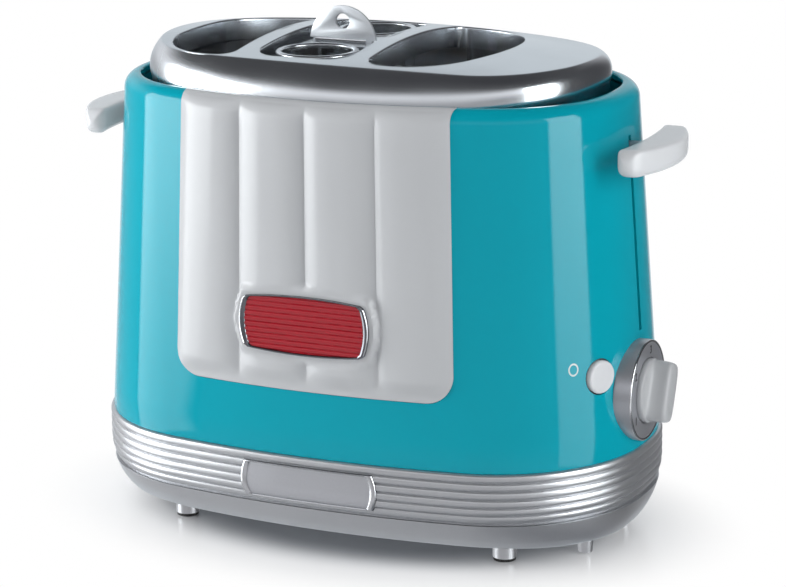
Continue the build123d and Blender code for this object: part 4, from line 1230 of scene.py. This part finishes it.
class TOASTER_OT_basket(bpy.types.Operator):
    """Sausage basket: ring plate with rolled rims, lifting tab and wire cups"""

    bl_idname = "toaster.basket"
    bl_label = "Sausage basket"

    def execute(self, context):
        low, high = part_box("basket_tab")
        front, back = low[1], high[1]
        foot = low[2]
        loops = [[(SAUSAGE_X + x, y, foot + z) for x, z in tab_outline(TAB_RADIUS)]
                 for y in (front, back)]
        tab = loops_to_mesh("lifting_tab", loops, fill=True)
        hole_z = foot + TAB_HOLE_RISE
        ends = (front - 0.002, back + 0.002)
        hole = lathe("tab_hole_cutter", [(y, TAB_HOLE_RADIUS) for y in ends],
                     lambda along, side, up: Vector((SAUSAGE_X + side, along, hole_z + up)), 48)
        cut(tab, hole)
        soften(tab, 0.00018, segments=2, angle=50)
        finish(tab, "basket", FINISHES["tab"], "polished_steel", "basket_tab", angle=30)

        profile = []
        for turn in part_turn(math.pi / 2, 6):
            profile.append((front - TAB_BEND * (1 - math.sin(turn)),
                            foot + TAB_BEND * (1 - math.cos(turn))))
        profile += [(back, foot + TAB_BEND), (back, foot - 0.0002),
                    (front - TAB_BEND, foot - 0.0002)]
        half = TAB_RADIUS - 0.0026
        loops = [[(SAUSAGE_X + x, y, z) for y, z in profile]
                 for x, in straight((-half,), (half,), 12)]
        fold = loops_to_mesh("tab_fold", loops, fill=True)
        finish(fold, "basket", FINISHES["steel"], "polished_steel", angle=50)

        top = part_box("basket_top")[1][2]
        rims = []
        for side in (-1, 1):
            centre_y = side * RING_SPACING / 2
            profile = [(top - 0.0001 + 0.0010 * math.sin(turn),
                        RING_RADIUS + RING_HALF_WIDTH * math.cos(turn))
                       for turn in part_turn(math.pi, 8)]
            profile += [(top - 0.0005, RING_RADIUS - RING_HALF_WIDTH + 0.0001),
                        (top - 0.0005, RING_RADIUS + RING_HALF_WIDTH - 0.0001)]
            rims.append(lathe(
                "ring_rim", profile + profile[:1],
                lambda along, side, up: Vector((SAUSAGE_X + side, centre_y + up, along)), 96))
        rim = join("basket_rims", rims)
        finish(rim, "basket", FINISHES["steel"], "polished_steel", angle=60)
        dress(FINISHES["steel"], "basket_top", "basket_cup_floors", "basket_cage")
        return {"FINISHED"}


def superellipse(turn, width, height, power):
    """Point of a rounded outline: power 2 is an ellipse, more is squarer."""
    cos, sin = math.cos(turn), math.sin(turn)
    return (width * math.copysign(abs(cos) ** (2 / power), cos),
            height * math.copysign(abs(sin) ** (2 / power), sin))


def handle_plan(y, width):
    """Near and far edge of the crescent handle at a place along it, from its inner plane."""
    tip, far, hollow = HANDLE_TIP, HANDLE_HALF - HANDLE_TIP, HANDLE_HOLLOW
    reach = width - tip
    bow = (reach**2 + far**2 - tip**2) / (2 * (reach - tip))
    bend = (hollow**2 + far**2) / (2 * hollow) - tip
    y = abs(y)
    beyond = math.sqrt(max(tip**2 - max(y - far, 0) ** 2, 0))
    near = hollow - bend + math.sqrt(bend**2 - min(y, far) ** 2) if y < far else tip - beyond
    meet = bow * far / math.hypot(far, bow - reach)
    if y < meet:
        return near, width - bow + math.sqrt(bow**2 - y**2)
    return near, tip + math.sqrt(max(tip**2 - (y - far) ** 2, 0))


def handle_section(y, inner, width, middle_z, half_height):
    """Points round the handle at a place along it: crisp above, fuller below, round at the tips."""
    near, outer = handle_plan(y, width)
    beyond = max(abs(y) - (HANDLE_HALF - half_height), 0) / half_height
    high = half_height * math.sqrt(max(1 - beyond * beyond, 0))
    points = []
    for turn in full_turn(48):
        power = 7 if turn < math.pi else 3
        across, up = superellipse(turn, (outer - near) / 2, high, power)
        points.append((inner + (near + outer) / 2 + across, y, middle_z + up))
    return points


class TOASTER_OT_levers(bpy.types.Operator):
    """White crescent lever handles"""

    bl_idname = "toaster.levers"
    bl_label = "Lever handles"

    def execute(self, context):
        for side, name in ((-1, "lever_handle_left"), (1, "lever_handle_right")):
            low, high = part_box(name)
            width = high[0] - low[0]
            inner = min(abs(low[0]), abs(high[0]))
            middle = (low[2] + high[2]) / 2
            loops = []
            for i in range(65):
                y = HANDLE_HALF * 0.9995 * math.sin(math.pi / 2 * (i / 32 - 1))
                section = handle_section(y, inner, width, middle, (high[2] - low[2]) / 2)
                loops.append([(side * x, y, z) for x, y, z in section])
            grip = loops_to_mesh(name.replace("lever_handle", "lever_grip"), loops, fill=True)
            finish(grip, "carriage", FINISHES["white"], "white_gloss", name, angle=40)
        return {"FINISHED"}


# Rows of the knob from its foot outwards: depth as a share, half length, half width, power
KNOB_ROWS = (
    (0.0, 0.985, 0.985, 2), (0.02, 1, 1, 2), (0.20, 1, 1, 2), (0.235, 0.992, 0.985, 2),
    (0.255, 0.975, 0.95, 2.05), (0.268, 0.962, 0.86, 2.2), (0.278, 0.958, 0.74, 2.4),
    (0.29, 0.956, 0.64, 2.7), (0.31, 0.955, 0.56, 3), (0.35, 0.955, 0.50, 3.4),
    (0.42, 0.953, 0.455, 3.7), (0.52, 0.95, 0.43, 3.9), (0.66, 0.945, 0.42, 4),
    (0.80, 0.935, 0.43, 4), (0.885, 0.92, 0.43, 4), (0.935, 0.895, 0.405, 4),
    (0.97, 0.855, 0.36, 4), (0.992, 0.79, 0.295, 4), (1.0, 0.70, 0.22, 4),
    (1.004, 0.48, 0.12, 3.5), (1.005, 0.2, 0.04, 3),
)


class TOASTER_OT_dial(bpy.types.Operator):
    """Satin dial with printed digits and the white knob"""

    bl_idname = "toaster.dial"
    bl_label = "Browning dial"

    def execute(self, context):
        low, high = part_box("knob_dial")
        rim = high[0]
        face = rim - DIAL_RIM_HEIGHT
        outer, inner = DIAL_RADIUS, DIAL_RADIUS - 0.0022
        profile = [
            (low[0], SHAFT_HOLE_RADIUS), (low[0], outer - 0.0004), (low[0] + 0.0004, outer),
            (rim - 0.0008, outer), (rim - 0.0002, outer - 0.0003), (rim, outer - 0.0008),
            (rim - 0.0001, outer - 0.0013), (rim - 0.0002, inner),
            (rim - 0.0002, KNOB_RADIUS + 0.0007), (rim - 0.0004, KNOB_RADIUS + 0.0005),
            (face, KNOB_RADIUS + 0.0005), (face, SHAFT_HOLE_RADIUS)]
        ring = lathe("dial_ring", profile + profile[:1], dial_place, 128)
        finish(ring, "toaster", FINISHES["dial"], "satin_chrome", "knob_dial", angle=40)
        profile = [(rim - 0.0006, outer - 0.0001), (rim - 0.0001, outer - 0.0001),
                   (rim + 0.0002, outer - 0.0006), (rim + 0.0002, outer - 0.0010),
                   (rim - 0.0002, outer - 0.0014)]
        line = lathe("dial_bright_line", profile + profile[:1], dial_place, 128)
        finish(line, "toaster", FINISHES["chrome"], "satin_chrome", angle=60)
        steps = context.scene.toaster_sizes.dial_steps
        size = context.scene.toaster_sizes.digit_size
        for step in range(steps):
            turn = math.radians(DIGIT_FIRST - DIGIT_SWEEP * step / (steps - 1))
            self.add_digit(str(step + 1), rim - 0.00015, turn, size)
        self.add_knob()
        dress(FINISHES["wire"], "knob_shaft")
        return {"FINISHED"}

    def add_digit(self, text, face, turn, size):
        """One printed digit, upright on the dial's face."""
        deselect()
        bpy.ops.object.text_add()
        digit = bpy.context.object
        digit.data.body = text
        digit.data.size = size
        digit.data.align_x = "CENTER"
        digit.data.align_y = "CENTER"
        digit.data.extrude = 0.00004
        digit.data.offset = 0.00013
        choose(digit)
        bpy.ops.object.convert(target="MESH")
        digit = bpy.context.object
        digit.name = "digit_" + text
        spot = dial_place(face, -DIGIT_CIRCLE * math.sin(turn), DIGIT_CIRCLE * math.cos(turn))
        facing = Matrix(((0, 0, 1), (1, 0, 0), (0, 1, 0))).to_4x4()
        digit.matrix_world = Matrix.Translation(spot) @ facing
        finish(digit, "toaster", FINISHES["ink"], "black_plastic", angle=30)

    def add_knob(self):
        """Round foot flowing into a rounded grip bar."""
        low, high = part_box("knob")
        depth = high[0] - low[0]
        loops = []
        for share, length, width, power in KNOB_ROWS:
            loop = []
            for turn in full_turn(128):
                along, across = superellipse(
                    turn, KNOB_RADIUS * length, KNOB_RADIUS * width, power)
                side = along * math.sin(GRIP_TURN) + across * math.cos(GRIP_TURN)
                up = along * math.cos(GRIP_TURN) - across * math.sin(GRIP_TURN)
                loop.append(dial_place(low[0] + depth * share, side, up))
            loops.append(loop)
        knob = loops_to_mesh("grip_knob", loops, fill=True)
        finish(knob, "dial_knob", FINISHES["grip"], "white_gloss", "knob", angle=50)


class TOASTER_OT_button(bpy.types.Operator):
    """Stop button in a black lining that paints the shade of its gap, and the printed ring beside
    it
    """

    bl_idname = "toaster.button"
    bl_label = "Stop button"

    def execute(self, context):
        radius, proud, edge = BUTTON_RADIUS, BUTTON_PROUD, 0.0012
        profile = [(-0.0119, 0.0028), (-0.0072, 0.0028), (-0.007, radius - 0.0004)]
        profile += rounded_profile(-0.0066, proud, radius, edge, 6)
        profile += [(proud + 0.00015, radius * 0.55), (proud + 0.0002, radius * 0.2)]
        button = lathe("button_cap", profile, button_place, 96)
        finish(button, "stop_key", FINISHES["white"], "white_gloss", "stop_button", angle=50)
        # Painted shade: the hole round the button is lined with black plastic, standing in for the
        # shade in the gap.
        inner, outer = radius + 0.0003, radius + 0.0012
        profile = [(-0.009, inner), (-0.0010, inner), (-0.0010, outer), (-0.009, outer)]
        shade_lining = lathe("button_gap_shade_lining", profile + profile[:1], button_place, 96)
        finish(shade_lining, "toaster", FINISHES["black"], "black_plastic", angle=40)

        loops = []
        rows = ((0.0030, 0.00002), (0.00285, 0.00006), (0.00235, 0.00006), (0.0022, 0.00002))
        for size, lift in rows:
            loops.append([
                wall_point(STOP_SIGN_TURN, STOP_SIGN_Z, STOP_SIGN_ACROSS * size * math.cos(turn),
                           size * math.sin(turn), lift) for turn in full_turn(64)])
        sign = loops_to_mesh("stop_ring", loops)
        finish(sign, "toaster", FINISHES["print"], "white_gloss", angle=60)
        return {"FINISHED"}


def wall_point(turn, z, across, up, lift):
    """Point on the body's +X corner, at steps across and up from a spot on it."""
    radius, kx, ky, _, _ = body_oval(z + up).arcs()
    turn += across / radius
    return (kx + (radius + lift) * math.cos(turn), ky + (radius + lift) * math.sin(turn), z + up)


INSIDE_FINISHES = {
    "liner": ("bun_liner_left", "bun_liner_right", "sausage_reflector_front",
              "sausage_reflector_rear"),
    "wire": ("bun_guard_left", "bun_guard_right", "guide_rod_left", "guide_rod_right"),
    "zinc": ("chassis_floor", "chassis_top", "chassis_end_left", "chassis_end_right",
             "carriage_beam", "lever_arm_left", "lever_arm_right", "bun_rack_left",
             "bun_rack_right", "basket_platform", "latch_armature", "magnet_core",
             "board_standoffs"),
    "mica": ("heater_card_left", "heater_card_right"),
    "strip": ("heater_wire_left", "heater_wire_right"),
    "grey": ("slider_left", "slider_right"),
    "board": ("control_board",),
    "copper": ("magnet_coil",),
    "black": ("potentiometer", "stop_switch", "terminal_block"),
}


class TOASTER_OT_insides(bpy.types.Operator):
    """Finishes of the liners, heaters, carriage and control bay"""

    bl_idname = "toaster.insides"
    bl_label = "Insides"

    def execute(self, context):
        for name, nodes in INSIDE_FINISHES.items():
            dress(FINISHES[name], *nodes)
        for side in ("left", "right"):
            self.add_spring("coil_" + side, "lift_spring_" + side)
        return {"FINISHED"}

    def add_spring(self, name, spring):
        """Coil under a slide block, made at one length; the real spring shortens as the carriage
        goes down.
        """
        low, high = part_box(spring)
        wire, turns, around = 0.0005, 11, 24
        radius = (high[0] - low[0]) / 2 - wire
        middle = Vector(((low[0] + high[0]) / 2, (low[1] + high[1]) / 2, 0))
        up = Vector((0, 0, 1))
        loops = []
        for i in range(turns * around + 1):
            turn = 2 * math.pi * i / around
            out = Vector((math.cos(turn), math.sin(turn), 0))
            rise = low[2] + wire + (high[2] - low[2] - 2 * wire) * i / (turns * around)
            spot = middle + out * radius + up * rise
            loops.append([tuple(spot + (out * math.cos(a) + up * math.sin(a)) * wire)
                          for a in (math.pi * step / 4 for step in range(8))])
        coil = loops_to_mesh(name, loops, fill=True)
        finish(coil, "toaster", FINISHES["wire"], "wire_steel", spring, angle=60)
        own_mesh(coil)


# Stage

CAMERA_AZIMUTH = math.radians(24.74)
CAMERA_ELEVATION = math.radians(14.74)
CAMERA_ROLL = math.radians(-0.69)
CAMERA_DISTANCE = 1.3723
CAMERA_TARGET = Vector((0.0044, 0.0038, 0.1064))
FOCAL_PIXELS = 2864.9
FRAME_PIXELS = 786
SENSOR = 36.0


def place_camera():
    level = math.cos(CAMERA_ELEVATION)
    back = Vector((math.sin(CAMERA_AZIMUTH) * level, -math.cos(CAMERA_AZIMUTH) * level,
                   math.sin(CAMERA_ELEVATION)))
    right = Vector((math.cos(CAMERA_AZIMUTH), math.sin(CAMERA_AZIMUTH), 0))
    up = back.cross(right)
    turned_right = right * math.cos(CAMERA_ROLL) + up * math.sin(CAMERA_ROLL)
    turned_up = back.cross(turned_right)
    deselect()
    bpy.ops.object.camera_add()
    camera = bpy.context.object
    camera.name = "camera"
    turn = Matrix((turned_right, turned_up, back)).transposed().to_4x4()
    camera.matrix_world = Matrix.Translation(CAMERA_TARGET + back * CAMERA_DISTANCE) @ turn
    camera.data.sensor_width = SENSOR
    camera.data.lens = FOCAL_PIXELS * SENSOR / FRAME_PIXELS
    bpy.context.scene.camera = camera


def add_lamp(name, place, aim, width, height, power):
    """Area lamp facing a point; it shows in no reflection."""
    deselect()
    bpy.ops.object.light_add(type="AREA", location=place)
    lamp = bpy.context.object
    lamp.name = name
    lamp.data.shape = "RECTANGLE"
    lamp.data.size = width
    lamp.data.size_y = height
    lamp.data.energy = power
    lamp.visible_glossy = False
    direction = Vector(aim) - Vector(place)
    lamp.rotation_euler = direction.to_track_quat("-Z", "Y").to_euler()


# The surroundings' level from straight down, 0, to straight up, 1
WORLD_LEVELS = (
    (0.30, 0.64), (0.40, 0.38), (0.50, 0.38), (0.57, 0.70), (0.67, 1.00), (0.73, 0.60),
    (0.80, 0.10),
)
VIEW_RIGHT = (0.908, 0.419, 0)
VIEW_LEFT = (-0.908, -0.419, 0)
DOWN = (0, 0, -1)


def light_world():
    """Studio surroundings: backdrop behind the deck, dim sides, plain white to the camera."""
    world = bpy.context.scene.world or bpy.data.worlds.new("World")
    bpy.context.scene.world = world
    world.use_nodes = True
    tree = world.node_tree
    tree.nodes.clear()
    link = tree.links.new
    out = node(tree, "ShaderNodeOutputWorld")
    where = node(tree, "ShaderNodeTexCoord")
    split = node(tree, "ShaderNodeSeparateXYZ")
    link(where.outputs["Generated"], split.inputs[0])
    height = node(tree, "ShaderNodeValToRGB")
    ramp = height.color_ramp
    ramp.elements[0].position = 0.0
    ramp.elements[0].color = (0.50, 0.51, 0.53, 1)
    ramp.elements[1].position = 1.0
    ramp.elements[1].color = (0.05, 0.05, 0.055, 1)
    for spot, level in WORLD_LEVELS:
        ramp.elements.new(spot).color = (level, level, level * 1.03, 1)
    link(map_range(tree, split.outputs["Z"], -1, 1, smooth=False), height.inputs["Fac"])

    def span(direction, low, high):
        """1 where the surroundings lie farther along a direction than high, 0 before low."""
        dot = node(tree, "ShaderNodeVectorMath", operation="DOT_PRODUCT")
        dot.inputs[1].default_value = direction
        link(where.outputs["Generated"], dot.inputs[0])
        return map_range(tree, dot.outputs["Value"], low, high)

    dim = mix_colours(tree, span((0.78, 0.62, 0), 0.35, 0.85), height.outputs["Color"],
                      (0.07, 0.07, 0.075))
    level = product(tree, span((0, 1, 0), 0.35, 0.55), span(DOWN, -0.70, -0.52))
    across = product(tree, span(VIEW_LEFT, -0.42, -0.26), span(VIEW_RIGHT, -0.50, -0.30))
    backdrop = product(tree, level, across)
    corner = product(tree, span(DOWN, 0.55, 0.85), span((1, 0, 0), -0.45, 0.25))
    dim = mix_colours(tree, corner, dim, (0.17, 0.18, 0.20))
    lit = mix_colours(tree, backdrop, dim, (0.70, 0.75, 0.79))
    room = node(tree, "ShaderNodeBackground")
    link(lit, room.inputs["Color"])
    white = node(tree, "ShaderNodeBackground")
    white.inputs["Color"].default_value = (1, 1, 1, 1)
    seen = node(tree, "ShaderNodeLightPath").outputs["Is Camera Ray"]
    link(mix_shaders(tree, seen, room.outputs[0], white.outputs[0]), out.inputs["Surface"])


def card_material(name, top, foot):
    """Light of a reflector card: soft at its sides, weaker towards its foot."""
    material, tree = new_material(name)
    link = tree.links.new
    split = node(tree, "ShaderNodeSeparateXYZ")
    link(node(tree, "ShaderNodeTexCoord").outputs["UV"], split.inputs[0])
    rise = map_range(tree, split.outputs["Y"], 0.18, 0.52, foot, top)
    away = node(tree, "ShaderNodeMath", operation="PINGPONG")
    away.inputs[1].default_value = 0.5
    link(split.outputs["X"], away.inputs[0])
    edge = map_range(tree, away.outputs[0], 0, 0.10)
    glow = node(tree, "ShaderNodeEmission")
    glow.inputs["Color"].default_value = (0.96, 0.99, 1, 1)
    link(product(tree, rise, edge), glow.inputs["Strength"])
    link(glow.outputs[0], tree.nodes["Material Output"].inputs["Surface"])
    return material


def add_card(name, place, aim, width, height, top, foot):
    """Reflector card that shows only in reflections."""
    deselect()
    bpy.ops.mesh.primitive_plane_add(size=1, location=place)
    card = bpy.context.object
    card.name = name
    card.scale = (width, height, 1)
    direction = Vector(aim) - Vector(place)
    direction.z = 0
    card.rotation_euler = direction.to_track_quat("Z", "Y").to_euler()
    for hidden in ("camera", "diffuse", "transmission", "volume_scatter", "shadow"):
        setattr(card, "visible_" + hidden, False)
    card.data.materials.append(card_material(name, top, foot))


def floor_material():
    """White sweep: keeps the lamps' shadows and a soft gloss near the object, darkens its colour
    close to the object as a painted shadow, and is plain white farther out.
    """
    material, tree = new_material("White sweep")
    link = tree.links.new
    shader = tree.nodes["Principled BSDF"]
    shader.inputs["Roughness"].default_value = 0.22
    path = node(tree, "ShaderNodeLightPath")
    where = node(tree, "ShaderNodeTexCoord")
    oval = node(tree, "ShaderNodeVectorMath", operation="MULTIPLY")
    oval.inputs[1].default_value = (0.69, 1, 1)
    link(where.outputs["Object"], oval.inputs[0])
    reach = node(tree, "ShaderNodeVectorMath", operation="LENGTH")
    link(oval.outputs[0], reach.inputs[0])
    far = map_range(tree, reach.outputs["Value"], 0.070, 0.128)
    # Painted shadow: close to the object the floor's colour turns dark grey, standing in for the
    # contact shadow under the base.
    painted_shadow_reach = map_range(tree, reach.outputs["Value"], 0.058, 0.092)
    floor_tone_with_painted_shadow = mix_colours(tree, painted_shadow_reach, (0.22, 0.23, 0.25), (0.93, 0.935, 0.94))
    link(floor_tone_with_painted_shadow, shader.inputs["Base Color"])
    fade = product(tree, far, path.outputs["Is Camera Ray"])
    white = node(tree, "ShaderNodeEmission")
    white.inputs["Color"].default_value = (1, 1, 1, 1)
    near = mix_shaders(tree, fade, shader.outputs[0], white.outputs[0])
    clear = node(tree, "ShaderNodeBsdfTransparent")
    gloss = mix_shaders(tree, path.outputs["Is Glossy Ray"], near, clear.outputs[0])
    link(gloss, tree.nodes["Material Output"].inputs["Surface"])
    return material


class TOASTER_OT_stage(bpy.types.Operator):
    """White floor, soft studio lamps and the camera"""

    bl_idname = "toaster.stage"
    bl_label = "Stage"

    def execute(self, context):
        deselect()
        bpy.ops.mesh.primitive_plane_add(size=8, location=(0, 0, 0))
        floor = bpy.context.object
        floor.name = "floor"
        floor.data.materials.append(floor_material())
        level = context.scene.toaster_sizes.lamp_strength
        middle = (0, 0, 0.12)
        add_lamp("top_box", (-0.3, -0.5, 1.5), middle, 1.4, 1.0, 6.0 * level)
        add_lamp("left_box", (-0.95, -0.45, 0.30), middle, 0.6, 1.0, 12 * level)
        add_lamp("right_box", (1.0, -0.145, 0.30), middle, 0.5, 1.0, 6.5 * level)
        add_lamp("back_box", (0.0, 1.1, 0.9), middle, 1.6, 0.8, 5 * level)
        add_card("left_card", (-0.905, -0.475, 0.12), (-0.045, -0.212, 0.12), 0.76, 1.0, 7.0, 3.0)
        add_card("right_card", (1.0, -0.145, 0.20), (0.11, -0.045, 0.20), 0.56, 1.16, 7.4, 2.8)
        light_world()
        place_camera()
        context.scene.view_settings.view_transform = "Standard"
        return {"FINISHED"}


class TOASTER_PT_panel(bpy.types.Panel):
    """Lists the toaster's sizes, colours and steps"""

    bl_label = "Toaster"
    bl_idname = "TOASTER_PT_panel"
    bl_space_type = "VIEW_3D"
    bl_region_type = "UI"
    bl_category = "Toaster"

    def draw(self, context):
        for settings in (context.scene.toaster_sizes, context.scene.toaster_colours):
            for name in settings.__annotations__:
                self.layout.prop(settings, name)
        for step in STEPS:
            self.layout.operator(step.bl_idname)


STEPS = (
    TOASTER_OT_body, TOASTER_OT_panel, TOASTER_OT_emblem, TOASTER_OT_base, TOASTER_OT_badge,
    TOASTER_OT_cover, TOASTER_OT_basket, TOASTER_OT_levers, TOASTER_OT_dial, TOASTER_OT_button,
    TOASTER_OT_insides, TOASTER_OT_stage,
)
CLASSES = (ToasterSizes, ToasterColours, *STEPS, TOASTER_PT_panel)


def register():
    for kind in CLASSES:
        bpy.utils.register_class(kind)
    bpy.types.Scene.toaster_sizes = PointerProperty(type=ToasterSizes)
    bpy.types.Scene.toaster_colours = PointerProperty(type=ToasterColours)


def unregister():
    del bpy.types.Scene.toaster_colours
    del bpy.types.Scene.toaster_sizes
    for kind in reversed(CLASSES):
        bpy.utils.unregister_class(kind)


def main():
    register()
    FINISHES.update(make_finishes(bpy.context.scene.toaster_colours))
    for step in STEPS:
        area, name = step.bl_idname.split(".")
        getattr(getattr(bpy.ops, area), name)()


if __name__ == "__main__":
    main()
